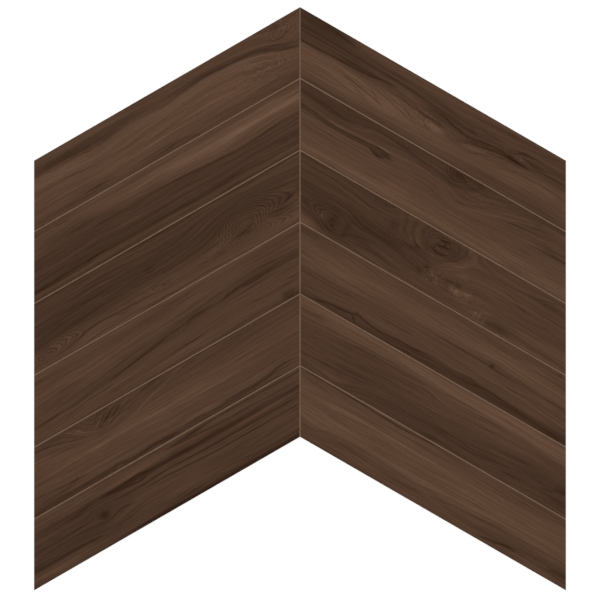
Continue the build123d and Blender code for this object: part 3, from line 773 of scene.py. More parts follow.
prints["right_1"] = {
    "seed": 23.1,
    "grain": [
        (3, [(0, 3), (220, 3)]),
        (9, [(-4, 9), (15, 8), (50, 9), (100, 9), (150, 8.5), (215, 8.5)]),
        (12, [(-6, 12), (10, 12.5), (30, 11.8), (50, 10), (70, 10.3), (100, 10.5), (150, 10.5), (213, 10.5)]),
        (16, [(-8, 16), (15, 16.5), (30, 15.5), (45, 13), (60, 11.5), (75, 11.2), (100, 12), (113, 11.5), (130, 12.5),
         (150, 14), (175, 17.5), (211, 15.5)]),
        (20, [(-10, 20.5), (20, 19), (35, 17.5), (50, 15.5), (65, 13.5), (80, 12.8), (97, 15), (105, 15.5), (113, 12.5),
         (125, 15), (140, 17.5), (160, 19), (180, 21), (209, 19.5)]),
        (23, [(-12, 23), (20, 23), (50, 21.5), (62, 18.5), (75, 16), (88, 16), (97, 19.5), (105, 19.3), (111, 17),
         (115, 14.5), (125, 17.5), (140, 21.5), (155, 23.5), (175, 23), (207, 22)]),
        (26, [(-14, 24.5), (20, 25.5), (40, 26.3), (60, 26.5), (75, 25), (86, 22), (97, 21.5), (110, 21), (120, 21.5),
         (130, 22.5), (150, 25), (165, 24), (205, 25)]),
        (30, [(-17, 30.2), (20, 30.3), (50, 29.2), (75, 28.3), (90, 28), (100, 27), (112, 25.2), (125, 23.5), (135, 25),
         (150, 26.8), (165, 27), (180, 27), (203, 27.2)]),
        (34, [(-19, 34), (20, 33.3), (60, 32.3), (85, 31.3), (100, 32), (112, 30.5), (120, 29), (135, 30), (157, 30),
         (170, 33.5), (190, 33), (200, 33)]),
        (40, [(-23, 41), (10, 40.3), (25, 37.5), (50, 36.2), (80, 35.8), (110, 36.8), (140, 39), (195, 40.7)]),
    ],
    "bands": [(0, 76), (2, 79), (4, 84), (6, 88), (9, 90), (12, 92), (15, 95), (18, 93), (20, 91), (22.5, 90), (24, 84),
        (25, 76), (27, 74), (29, 72), (31, 74), (33, 71), (34.5, 73), (37, 76), (39, 78), (41, 80), (43.6, 82)],
    "clouds": [(-5, 40, 28, 6, -12), (110, 29, 18, 3.5, -6)],
    "spots": [(102, 16.5, 6, 2.4, 5), (157.5, 26.8, 3.6, 2.4, -8), (163, 25, 6, 1.2, -4), (0, 41, 20, 2.4, -6),
        (95, 14, 8, 3, -2), (85, 6, 18, 2, 5), (118, 15.5, 10, 1.8, -4), (150, 13.5, 16, 3, -4), (92, 23, 16, 3, 7),
        (68, 16, 13, 2.2, 6), (28, 9, 16, 2, 5), (122, 17.5, 10, 1.8, 6), (-2, 23.2, 12, 1.6, -6),
        (32, 27.5, 22, 2, -4), (146, 23, 14, 4, -4), (146, 6.5, 20, 4, -6), (190, 10, 18, 7, -5), (150, 36.5, 45, 2, 5),
        (75, 27, 14, 3, 8), (65, 17.5, 24, 5, 10), (110, 21.5, 15, 2.6, 8), (55, 9.5, 18, 2.6, 5),
        (105, 13.5, 18, 3, -6), (125, 15, 13, 3, -6), (150, 21, 19, 4, -9), (180, 5.5, 28, 2.6, -7),
        (209, 15, 11, 6, -8), (185, 36, 20, 3, 5), (25, 23, 20, 2.5, -3), (110, 33.5, 14, 3, 4), (160, 25, 8, 2, -8),
        (165, 28.5, 6, 1, 9), (-5, 41.5, 1.5, 0.6, 8), (100, 15, 10, 4, 4), (175, 6.5, 40, 1.2, -4)],
    "burls": [(90, 18, 12, 8, 0.5), (130, 20, 20, 8, 0.5), (160, 28, 14, 5, 0.6), (128, 30, 8, 4, 0.5)],
    "streaks": [
        (8, 0.4, 0.5, [(86, 23.4), (95, 21.4), (104, 20.6), (109.5, 18), (113, 13)]),
        (9, 0.6, [(148, 26), (156, 24.8), (165, 24.8), (176, 25.1)]),
        (10, 0.5, [(156, 29), (159.5, 31.6), (165, 32.8), (175, 33.6)]),
        (9, 0.5, [(160, 27.5), (167, 29.4), (176, 28.2), (188, 29)]),
        (7, 0.4, [(20, 18), (32, 15.4), (42, 12.2), (52, 9.6)]),
        (7, 0.4, [(42, 20), (50, 16.8), (57, 13), (64, 9.8)]),
        (7, 0.4, [(66, 22.6), (76, 18.4), (84, 13.6), (90, 10.8)]),
        (8, 0.4, [(88, 21), (91, 17.6), (95, 14.6), (101, 13.4)]),
        (8, 0.4, [(113.5, 12.6), (117, 15.2), (123, 18.2), (131, 20.6)]),
        (7, 0.4, [(126, 10.5), (132, 14.2), (139, 17.4), (148, 19.4)]),
        (7, 0.35, [(24, 23.6), (45, 23), (62, 20), (80, 16.5), (95, 14)]),
        (7, 0.35, [(62, 25), (80, 21.6), (95, 20.4), (106, 18), (113, 13.4)]),
        (8, 0.35, [(76, 24.4), (92, 21.4), (104, 21), (111, 17.6), (114, 13)]),
        (6, 0.35, [(8, 11.4), (24, 10.8), (42, 9.6), (60, 8.8)]),
        (6, 0.35, [(112, 13), (122, 19), (134, 23), (148, 25.4)]),
        (-6, 0.4, [(94, 17.6), (101, 17.8), (108, 15.2)]),
        (6, 0.35, [(128, 15.2), (142, 20), (160, 22.4), (178, 22.4)]),
        (6, 0.35, [(150, 12), (162, 16.6), (180, 18.6), (206, 19)]),
        (12.6, 0.6, [(-40, 23), (-13, 23.6), (0, 24), (10, 24.7), (20, 25), (30, 25.3), (40, 25.8), (50, 27.5),
         (60, 28.3), (68, 28.6)]),
        (8.1, 1.2, 1.5, [(12, 26.6), (25, 27.3), (40, 27.2), (55, 28)]),
        (8.9, 0.7, [(-45, 34.4), (-19, 34), (0, 33.5), (20, 33.3), (40, 32.8), (60, 32.3), (75, 32), (85, 31.2),
         (100, 30.3)]),
        (6.7, 0.6, [(-42, 30.3), (0, 30.5), (20, 30.3), (45, 29.3)]),
        (9.6, 0.8, [(-6, 41.2), (0, 40.9), (10, 40.3), (20, 39), (30, 36.8)]),
        (5, 0.8, [(22, 38.4), (40, 37), (60, 35.8), (80, 35.5), (97, 36), (120, 37.5), (140, 39), (200, 41)]),
        (9, 0.35, [(18, 18.2), (30, 17), (40, 15.5), (50, 13.8), (60, 11.5), (68, 9.6)]),
        (9, 0.35, [(48, 19.7), (58, 18.8), (65, 17), (72, 15.5), (88, 11.2)]),
        (6.7, 0.5, [(58, 25.2), (70, 25), (80, 23.5), (86, 22), (100, 20.8)]),
        (-5, 1.2, [(3, 15), (15, 14.3), (30, 12.3), (48, 9.6)]),
        (5.9, 0.5, [(95, 20.2), (104, 19.5), (109, 17.5), (112, 15), (114, 12)]),
        (9.6, 0.5, 0.8, [(95, 27.2), (105, 26.5), (112, 25), (120, 23.8), (127, 23.2), (133, 24.5), (140, 25.8),
         (150, 26.5), (160, 25.3), (170, 24.8), (182, 25.3)]),
        (7.4, 0.8, [(120, 16.5), (128, 19), (135, 21), (143, 23), (150, 24.3), (160, 24.5)]),
        (6, 0.4, [(139, 16), (146, 19), (153, 21.9)]),
        (6.7, 0.8, [(151, 26.2), (158, 29), (165, 31.5), (172, 33), (182, 35.6)]),
        (9.6, 0.7, [(166, 28.6), (180, 29.2), (192, 28.9)]),
        (9, 0.4, [(172, 26.1), (182, 26.8), (190, 27.3), (225, 27)]),
        (6, 0.4, [(95, 32.9), (105, 31.8), (112, 30.5), (120, 28.2)]),
        (7.4, 0.6, [(118, 28.4), (127, 28), (136, 28)]),
        (5, 0.4, [(143, 12.5), (155, 15.5), (165, 18), (175, 21), (195, 23)]),
    ],
}
prints["right_2"] = {
    "seed": 27.5,
    "grain": [
        (4, [(0, 4), (218, 4)]),
        (10, [(-5, 10), (40, 10), (60, 9.3), (80, 10.5), (100, 10.5), (140, 9), (212, 10.5)]),
        (15, [(-8, 15), (40, 15), (70, 15.5), (100, 15.5), (120, 14.5), (150, 13.5), (180, 15), (210, 15.5)]),
        (20, [(-10, 20), (40, 20.5), (60, 20.5), (75, 22), (95, 21.5), (110, 17.5), (130, 16.5), (150, 18), (175, 21),
         (207, 21)]),
        (24, [(-12, 24), (20, 24), (45, 23.5), (60, 23), (75, 24), (95, 24), (110, 19.5), (125, 20), (145, 22.5),
         (165, 24.5), (205, 25)]),
        (28, [(-16, 28.5), (10, 26.3), (30, 27.2), (52, 28.5), (65, 28.5), (80, 29.5), (97, 28), (110, 22), (120, 22),
         (135, 25), (150, 28), (165, 30.5), (185, 32), (202, 31)]),
        (32, [(-18, 32), (10, 29.5), (30, 30.5), (55, 31.5), (75, 33), (90, 32.3), (100, 30), (110, 26), (118, 24),
         (130, 26.3), (145, 30), (160, 34), (175, 37.5), (193, 41)]),
        (37, [(-21, 37.8), (0, 36.8), (15, 34.6), (25, 36.5), (40, 39.5), (70, 38.5), (90, 36), (100, 33), (110, 31.5),
         (118, 32), (125, 31), (140, 35), (155, 39), (165, 42)]),
        (42, [(-24, 42), (15, 40), (33, 42.5), (60, 42.5), (90, 41), (98, 38), (107, 35.5), (118, 37.5), (125, 40),
         (135, 42), (150, 46)]),
    ],
    "bands": [(0, 88), (2, 92), (5, 94), (8, 91), (11, 88), (14, 86), (17, 85), (20, 84), (23, 83), (25, 82), (27, 82),
        (30, 82), (32, 80), (34, 76), (36, 72), (38, 74), (40, 72), (43.6, 70)],
    "swells": [(107, 42, 9, 7, -8, 1.4)],
    "knots": [(107, 43, 13, 10, 5, 0.5)],
    "clouds": [(10, 38, 30, 5, -3), (70, 39, 30, 4, -3), (172, 31, 20, 5, -5), (30, 5, 25, 2, 2)],
    "spots": [(49.5, 25.2, 4.5, 1.3, -9), (46, 26, 3, 0.9, -8), (54.5, 27, 2.4, 1, -12), (58.5, 25.6, 2.2, 0.7, -9),
        (108, 41.5, 6, 2.4, -7), (127, 31.5, 13, 2.6, 6), (148, 37.5, 16, 2.2, 6), (53, 26.4, 8, 1.6, -8),
        (50, 6.6, 15, 1.8, 5), (72, 26, 10, 3, 4), (115, 31, 11, 3, 6), (140, 35, 22, 4, 8), (165, 41, 20, 3, 6),
        (-15, 31.5, 12, 2, -6), (52, 26.3, 7, 2, -6), (22, 14, 18, 4, -5), (80, 17.5, 16, 4, 4), (60, 6, 22, 2, 3),
        (200, 42, 14, 3, -4), (107, 41, 9, 6, -10), (125, 41, 4, 2, -10), (193, 25.3, 10, 1.2, -8),
        (22, 1.3, 8, 0.8, -9), (176, 2.2, 6, 0.7, -9), (174, 38.5, 2, 1, -8), (158.5, 37.5, 0.6, 0.6, -12),
        (149, 38.5, 0.6, 0.6, -6), (16, 42.5, 4, 1, -8), (50, 26.6, 3, 0.7, 10)],
    "burls": [(125, 36, 18, 7, 0.3), (18, 40, 12, 4, 0.3)],
    "streaks": [
        (9, 0.4, [(52, 27.6), (56, 27.9), (60, 26)]),
        (9, 0.4, [(53, 26), (57, 25.8), (61, 24.6)]),
        (4, 0.4, [(107, 23), (122, 25), (134, 29.4), (148, 37.5)]),
        (-4, 0.4, [(106, 25), (120, 26.6), (131, 30.6), (144, 38.6)]),
        (7, 0.4, [(116, 33), (121, 36), (124, 39.5), (126, 43)]),
        (-7, 0.4, [(120, 32), (126, 36), (129.5, 40), (131, 43.5)]),
        (14, 0.35, 0.3, [(38, 27.4), (44, 28.5), (50, 28.8), (55, 28), (58, 26.4), (60.5, 25.2)]),
        (13, 0.35, 0.3, [(40, 26.3), (45, 27.1), (50, 27.2), (54, 26.6), (58, 26)]),
        (14, 0.4, [(38, 26), (43, 25.4), (46, 24.2), (50, 23.5), (54, 24.4), (58, 25.2)]),
        (8, 0.5, [(94, 37.4), (100, 34.4), (107, 32.8), (114, 34), (121, 38), (126, 43)]),
        (9, 0.5, [(97, 39.6), (102, 37), (107, 36.2), (113, 37.6)]),
        (10.4, 0.6, 0.7, [(-42, 29.2), (-16, 28.8), (-8, 28.6), (0, 28), (8, 27), (15, 26.7), (25, 27), (35, 27.8),
         (45, 28.5), (52, 28.8), (57, 27.5), (60, 25.5)]),
        (10.4, 0.6, [(-42, 27.4), (-15, 27), (-8, 26.5), (0, 25.8), (8, 25.2), (15, 25), (25, 25.2), (35, 25.8),
         (43, 26.2), (46, 24.5), (50, 23.5), (54, 24.5), (57, 26.3)]),
        (6.7, 1, [(-42, 28.2), (-8, 27.5), (8, 26.1), (25, 26.1), (38, 27), (48, 26.5)]),
        (8.9, 0.8, [(42, 25.6), (50, 24.3), (58, 26)]),
        (-7, 0.8, [(4, 28.8), (14, 28.5), (24, 28.9)]),
        (-7, 0.5, [(44, 30), (50, 30.1), (60, 30.3)]),
        (7.4, 0.5, [(-46, 38.9), (-20, 38.7), (-8, 38.3), (0, 37.5), (8, 36.2), (14, 35.3), (20, 35.5), (26, 37.5),
         (32, 40.5)]),
        (6.7, 0.5, [(-46, 37), (-20, 37), (-8, 36.8), (2, 36), (10, 34.8), (16, 34), (26, 35.2)]),
        (8.1, 0.6, [(33, 43.5), (37, 41), (42, 39.8), (50, 39.2), (60, 39), (76, 38.8)]),
        (-6, 0.5, [(20, 30.4), (30, 33.5), (41, 37.6)]),
        (-6, 0.4, [(112, 19), (130, 24.5), (145, 28.5), (160, 33.5), (175, 37.5), (193, 41)]),
        (5.9, 0.8, [(150, 28.8), (160, 30), (174, 31.2)]),
        (8.9, 0.7, [(170, 26.1), (190, 27), (220, 28)]),
        (8.9, 0.7, [(176, 23.2), (195, 23.6), (220, 23.7)]),
        (5, 0.5, [(70, 34.1), (85, 33), (100, 30.8)]),
    ],
}
prints["right_3"] = {
    "seed": 31.2,
    "rings": (2.2, 1.2),
    "grain": [
        (1, [(0, 1), (40, 1), (218, 1)]),
        (5, [(-2, 6), (8, 5.3), (14, 3), (22, 1.5), (30, 3), (40, 4), (60, 6), (90, 5), (150, 3.5), (165, 6),
         (200, 5)]),
        (9, [(-5, 9.5), (6, 8), (14, 4.8), (22, 3), (30, 6.5), (40, 9), (60, 11), (80, 9.5), (110, 8), (140, 8.5),
         (170, 9.8), (213, 8)]),
        (16, [(-8, 15), (2, 14), (10, 14.5), (20, 18), (28, 16), (33, 12.5), (45, 14.5), (70, 17.5), (90, 18),
         (110, 15.5), (140, 15.5), (170, 14.5), (210, 14)]),
        (22, [(-11, 21), (0, 21.5), (12, 21), (25, 20), (40, 18.5), (60, 20.5), (75, 21.5), (90, 21.5), (105, 22),
         (125, 21.5), (150, 20.5), (206, 19)]),
        (28, [(-15, 28.5), (10, 30), (30, 29), (45, 25.5), (60, 24.5), (70, 23.5), (90, 23.5), (108, 25.5), (125, 27),
         (150, 26), (165, 25.2), (180, 24), (203, 24.5)]),
        (33, [(-18, 33), (5, 33.5), (25, 32), (45, 28.5), (60, 28), (75, 25.5), (97, 26), (112, 28.5), (130, 31),
         (155, 29.5), (178, 28.8), (202, 28)]),
        (38, [(-21, 39), (5, 38.5), (20, 36), (40, 33), (55, 34), (70, 38), (97, 40), (125, 37), (150, 35), (170, 34.5),
         (200, 33)]),
        (42, [(-23, 42), (8, 42), (30, 39), (50, 38), (65, 42.5), (97, 45), (130, 41), (160, 40), (180, 41.5)]),
    ],
    "bands": [(0, 80), (3, 80), (6, 78), (9, 76), (12, 76), (15, 77), (18, 74), (20, 72), (22, 71), (25, 73), (28, 76),
        (30, 77), (33, 75), (36, 78), (38, 74), (40, 77), (43.6, 73)],
    "eyes": [(20, 11, 8, 6.5, 3), (97, 36.5, 24, 15, 4)],
    "figures": [
        (0.85, [
            (0, [(-2, 15.5), (5, 18.6), (12, 19.6), (19, 19.6), (25, 17), (29.5, 13), (31, 9), (30, 5.5), (25, 3.4),
             (19, 3.6), (12, 6.6), (6, 9.6), (0, 12.5)]),
            (4, [(14.6, 13), (15.2, 15.6), (17.5, 16.4), (20.5, 15.6), (23.5, 13.6), (25, 10.5), (25.4, 7.5), (24, 5.2),
             (21, 4.8), (18, 6), (15.8, 8.4), (14.6, 10.8)]),
            (5.7, [(17, 12.5), (18.5, 14), (20.8, 12.8), (22.6, 10.4), (22, 8), (19.8, 7.6), (17.6, 9.4)]),
        ]),
        (0.32, [
            (0, [(58, 44), (60, 36), (64, 29), (72, 25.5), (82, 23), (93, 22.2), (103, 23), (111, 27), (118, 33),
             (122, 40), (123, 48), (110, 55), (90, 58), (70, 55)]),
            (1.5, [(71, 44), (71.5, 36), (74, 30.5), (79, 26.8), (88, 25.2), (97, 25.4), (106, 27.5), (112.5, 33),
             (115, 39), (113, 46), (104, 51), (90, 53), (78, 50)]),
            (3, [(82.5, 40), (83, 35), (86, 30), (91, 28), (98, 27.8), (104, 30), (107.5, 34.5), (107.5, 39), (104, 42),
             (98, 43.5), (90, 44), (85, 43)]),
        ]),
        (0.62, [
            (0, [(82.5, 40), (83, 35), (86, 30), (91, 28), (98, 27.8), (104, 30), (107.5, 34.5), (107.5, 39), (104, 42),
             (98, 43.5), (90, 44), (85, 43)]),
            (2.4, [(88, 36.5), (88.2, 33), (90, 30.4), (95, 29.4), (100.5, 30.6), (104.5, 33.8), (106, 37.5),
             (103, 40.2), (98, 41.3), (92.5, 40.8), (89, 39)]),
            (4.4, [(92.5, 37.5), (92, 34.5), (95.5, 33), (100, 34), (102, 36.8), (99.5, 39.6), (95, 39.6)]),
        ]),
    ],
    "clouds": [(20, 22, 60, 30, -6), (190, 22, 60, 30, 5)],
    "spots": [(8, 1.4, 10, 1.8, 8), (112, 23, 12, 2.4, 6), (98, 15, 5, 3, 1), (108, 12.5, 8, 2, 2),
        (122, 13, 11, 2.6, 4), (165, 24, 20, 2.4, -4), (60, 34, 7, 5, -4), (188, 10, 24, 3, 3), (8, 28.5, 20, 3, 6),
        (25, 24, 14, 2, 5), (80, 22.5, 13, 2.6, -6), (92, 18, 8, 2, -5), (25, 5.5, 9, 3, -7), (103, 31, 8, 2.5, 4),
        (122, 27, 12, 4, 6), (125, 11.5, 9, 3, 5), (42, 10.5, 12, 3, -4), (155, 5, 14, 2.5, -3), (205, 12, 14, 3, 3),
        (103, 27.5, 8, 1.6, 5), (20, 11, 5, 5, -12), (31, 12, 2.5, 4.5, -11), (31, 7, 1.5, 2, -10),
        (11.5, 12, 2.2, 2.5, 7), (1, 2.5, 9, 2.6, 14), (45, 20, 22, 6, -6), (62, 21, 10, 4, -7), (8, 15.5, 13, 4.5, -6),
        (97, 36, 9, 6, -7), (95, 39, 3.2, 1, -15), (99.5, 39.8, 1.8, 0.9, -13), (97, 34.8, 3.6, 0.9, -13),
        (91, 33.6, 1.4, 0.9, -11), (92, 31.2, 3.2, 1.2, -12), (99, 30.6, 5, 1.2, -11), (98, 37.6, 1.6, 1, 8),
        (104, 36.5, 2, 3, -7), (80.5, 26, 2.3, 1.3, -12), (76, 24.2, 5, 1.1, -9), (68, 25.2, 6, 0.8, -6),
        (78, 32, 3, 4, 5), (58, 30, 2, 6, -5), (99, 17, 1.6, 1.4, 10), (102, 15, 1.5, 1.2, 12),
        (104.5, 12.5, 1.6, 1.7, 12), (109.5, 11.5, 3, 1.3, 9), (115, 12, 3.5, 1.3, 8), (121.5, 13, 5, 1.8, 12),
        (128, 14.5, 4, 1.2, 9), (112, 18.5, 4, 1.6, 5), (96.5, 12.5, 1.1, 2, 9), (90, 13.5, 3, 1.6, -7),
        (93.5, 17.5, 1.6, 1.5, -7), (105, 15.2, 3, 1, -8), (117, 16.6, 4, 1.3, -9), (110, 9.4, 6, 0.8, -4),
        (126.5, 24, 1.4, 1, -8), (102, 21.8, 2, 0.8, -7), (143, 6, 8, 3.5, 7), (160, 4, 9, 2.5, -10),
        (186, 34, 14, 4, -5), (150, 20, 20, 8, 4), (100, 13, 0.8, 3, 12), (102.2, 17.6, 1.6, 0.9, 9),
        (106, 10.3, 2.2, 1.6, 12), (115.5, 14.4, 1.8, 1.3, 10), (123, 10.5, 2.6, 2.4, 9), (129, 14, 3.2, 1.5, 9),
        (120, 24.6, 3.4, 2, 6), (108, 19.8, 5, 1.8, 6), (91.6, 12, 1.4, 2, -9), (94, 16.8, 1.5, 1.2, -9),
        (113.4, 16.4, 2.4, 1.2, -10), (114.6, 11.7, 1.6, 0.7, -8), (133.4, 10.8, 1.6, 0.8, -8), (162, 4, 8, 2, -5),
        (141, 5, 1, 3.5, 7), (144.6, 4.6, 0.9, 3.5, 7), (148.6, 3, 0.9, 3, 8), (142.8, 4.6, 0.8, 3.5, -7),
        (146.6, 4, 0.9, 3.5, -7), (152.5, 4.4, 3, 2.2, -7), (100, 23.5, 14, 1.6, -4), (112, 31, 4, 3, -4),
        (102, 43, 9, 1.6, 6), (74.8, 34, 1, 6, 6), (64.5, 33, 1, 6, 4), (86, 35, 1, 5, -5), (107, 36, 1, 4, -6)],
    "burls": [(103, 14, 13, 7, 1.2), (122, 13, 14, 6, 1.2), (143, 6, 10, 6, 0.8), (62, 28, 6, 8, 0.35),
        (97, 36, 10, 6, 0.9), (20, 11, 6, 5, 0.5)],
    "streaks": [
        (17, 0.6, 0.5, [(89.5, 34.2), (93, 34.4), (96, 34.9), (100, 35.6), (105, 36)]),
        (15, 0.6, [(91.5, 38.2), (94, 38.9), (97, 39), (100, 40), (103, 39.4)]),
        (15, 0.5, 0.6, [(87.6, 32.8), (89.5, 30.8), (93, 29.8), (98, 29.7), (103, 31.6), (106, 34.2)]),
        (9, 0.5, [(88, 38), (92, 40.8), (98, 41.6), (104, 40), (107, 36.6)]),
        (12, 0.4, [(94, 33), (96.5, 35), (98.5, 37.5), (101, 38.6)]),
        (8, 0.5, [(72, 41), (73.5, 34), (78, 28.4), (86, 25.6)]),
        (8, 0.5, [(100, 26.2), (108, 29.4), (113.5, 35), (115.5, 42)]),
        (-7, 0.5, [(76, 34), (79, 30), (85, 27)]),
        (-7, 0.5, [(86, 27.4), (95, 26.6), (104, 29)]),
        (-6, 0.5, [(108, 26.8), (114, 28.4), (118.5, 32.4), (121, 38)]),
        (12, 0.5, [(14.4, 11.6), (15.4, 8.6), (18.6, 5.8), (22, 4.8), (25, 6.4)]),
        (10, 0.5, [(14.6, 12.6), (15.6, 15.8), (18.6, 16.2), (22.6, 14.2), (25.4, 10.6)]),
        (12, 0.4, [(17, 12), (19.6, 12.6), (22.4, 11.2)]),
        (10, 0.4, [(17, 10), (19.6, 8.6), (22.6, 8.8)]),
        (5.9, 1.5, [(-25, 16.5), (-9, 14.8), (0, 12.5), (6, 11), (12, 8)]),
        (9.6, 0.6, [(7, 11), (11, 8.8), (15, 6.6), (19, 5), (23, 4)]),
        (6.7, 0.5, [(12, 19.2), (19, 19.4), (24, 17.4), (27.5, 14.6)]),
        (6.7, 0.5, [(3, 8.6), (9, 7), (15, 4.2), (21, 2)]),
        (6.7, 0.5, [(29.6, 5.6), (31, 8), (34, 9.4), (40, 11), (46, 12)]),
        (5.9, 0.6, [(26, 2.5), (40, 2.5), (52, 1.4)]),
        (5.9, 0.8, [(30, 7.6), (38, 10), (45, 11.5), (55, 12.8)]),
        (6, 0.4, [(35, 46), (38, 41.6), (42, 34)]),
        (6, 0.4, [(43, 46), (46, 41.6), (50, 34)]),
        (-5, 0.4, [(6, 38.2), (15, 36.8), (25, 35), (35, 33), (48, 28.4)]),
        (-4, 0.4, [(3, 36.2), (20, 34), (35, 31), (45, 28.6)]),
        (-8, 0.4, [(60, 26.2), (75, 25), (83, 24.2)]),
        (6.7, 0.7, [(159, 25.6), (168, 24.8), (178, 23.1)]),
        (6, 0.6, [(148, 30.3), (158, 28.5), (168, 26.8)]),
        (6, 0.5, [(176, 21.2), (193, 21.2), (200, 21.2)]),
        (-7, 0.6, [(126, 15.3), (140, 15.3), (154, 15.3)]),
        (-6, 0.6, [(164, 10), (190, 9), (225, 7.8)]),
        (5.2, 0.5, 1.5, [(148, 2.5), (157, 6.5), (165, 7), (180, 6), (212, 4.4)]),
        (6, 0.5, [(166, 34.6), (180, 38), (198, 42.4)]),
        (5, 0.5, [(168, 31.2), (178, 29.5), (206, 27.8)]),
    ],
}
prints["right_4"] = {
    "seed": 35.8,
    "grain": [
        (2, [(0, 0), (40, 2), (70, 2), (97, 2.5), (120, 3.5), (150, 5), (185, 3.5), (218, 1)]),
        (5, [(-2, 3), (20, 4), (35, 5.2), (43, 7), (55, 5.4), (65, 5), (85, 6), (104, 8), (118, 6.5), (140, 8.3),
         (152, 7), (170, 5.8), (200, 6), (216, 5)]),
        (11, [(-6, 10.5), (40, 12), (60, 10.5), (90, 11.5), (120, 12), (150, 11.5), (175, 10.5), (212, 9)]),
        (14.5, [(-8, 14.7), (20, 15.5), (50, 16.5), (90, 15), (130, 14.3), (165, 14), (190, 12.5), (211, 11.5)]),
        (22.5, [(-12, 22), (20, 21), (50, 21.5), (97, 22.6), (130, 22.6), (143, 21.8), (172, 22.2), (206, 22)]),
        (27, [(-15, 27), (20, 27.5), (60, 26.5), (97, 26), (120, 26), (145, 27), (170, 26.5), (203, 26)]),
        (33, [(-19, 33), (0, 32.5), (40, 31.5), (60, 31.5), (80, 33), (97, 33.5), (120, 33), (150, 32.5), (175, 31.5),
         (200, 30.5)]),
        (39, [(-22, 39.5), (30, 41), (50, 39.5), (97, 38.5), (130, 38), (180, 36), (197, 35)]),
    ],
    "bands": [(0, 68), (3, 70), (5, 72), (7, 80), (9, 82), (11, 80), (13, 79), (15, 81), (17, 82), (19, 82), (21, 84),
        (23, 85), (25, 88), (27, 89), (29, 90), (31, 91), (33, 91), (35, 89), (37, 84), (39, 81), (41, 82), (43.6, 82)],
    "eyes": [(145, 23.3, 3, 1.8, 1)],
    "clouds": [(85, 30, 25, 4, 3), (150, 30, 30, 4, 3)],
    "spots": [(140, 22.4, 18, 1.2, -7), (142, 4.5, 22, 1.8, 5), (168, 36, 16, 1.8, 4), (14, 10.5, 20, 1.6, -4),
        (172, 24.4, 14, 1.5, -4), (130, 23.3, 32, 1.5, -8), (168, 37, 16, 2.2, 7), (-15, 39, 18, 5, -5),
        (-5, 20, 9, 3, 5), (55, 9, 14, 3, 5), (35, 34, 20, 3, -3), (150, 10.5, 28, 2, 4), (206, 7, 15, 1.6, -5),
        (15, 2, 12, 1.6, 4), (144.5, 23, 1.3, 1, -24), (190.5, 42, 1.6, 1, -18), (25, 2, 20, 2, -4),
        (150, 5, 40, 3, -7), (208, 2, 12, 2.5, -14)],
    "burls": [(110, 33, 6, 6, 0.25), (-10, 30, 4, 4, 0.25)],
    "streaks": [
        (11, 0.4, [(37, 5.6), (40, 4.8), (42, 3.2), (44, 1.6)]),
        (9, 0.4, [(39, 6.8), (42, 8.6), (44, 9.6)]),
        (12, 0.4, [(141, 22), (143.5, 24), (146, 24.2), (148, 22.4)]),
        (12.6, 0.6, 0.7, [(2, -0.2), (6, 0.8), (15, 2.5), (20, 3.8), (28, 4.6), (35, 5), (40, 6), (43, 7.2), (48, 6.3),
         (55, 5.2), (62, 4.8), (70, 5.2), (80, 5.9), (90, 6.3), (97, 7.2), (107, 8.2)]),
        (10.8, 0.4, [(38, 5.8), (41, 3.5), (45, 1.8)]),
        (5.9, 0.6, [(73, 0.2), (85, 1.5), (97, 2.2), (105, 3), (120, 4), (135, 4.5), (145, 6), (152, 6.8), (160, 5.8),
         (170, 5), (188, 4.4)]),
        (8, 0.4, [(126, 8), (134, 8), (142, 8)]),
        (6.7, 0.5, [(93, 22.6), (115, 22.6), (133, 22.5)]),
        (7.4, 0.8, [(136, 22.3), (150, 21.8), (160, 21.8), (172, 22.2), (185, 22.2), (220, 21.9)]),
        (6.7, 0.5, [(136, 22.6), (142, 25.5), (147, 25.5), (154, 22.8)]),
        (5.9, 0.5, [(-32, 28), (-16, 27.5), (-4, 26.9)]),
        (6, 0.6, [(-35, 16.7), (-9, 16.5), (2, 15.9)]),
        (6, 0.4, [(-35, 15), (-8, 15), (15, 15), (42, 17.7)]),
        (6.7, 0.5, [(71, 14.2), (78, 14.4), (86, 14.5)]),
        (-7, 0.5, [(126, 14.4), (150, 14), (165, 14), (180, 13.5), (190, 12.5), (225, 11)]),
        (5, 0.5, [(151, 15.2), (164, 15.1), (178, 15)]),
    ],
}
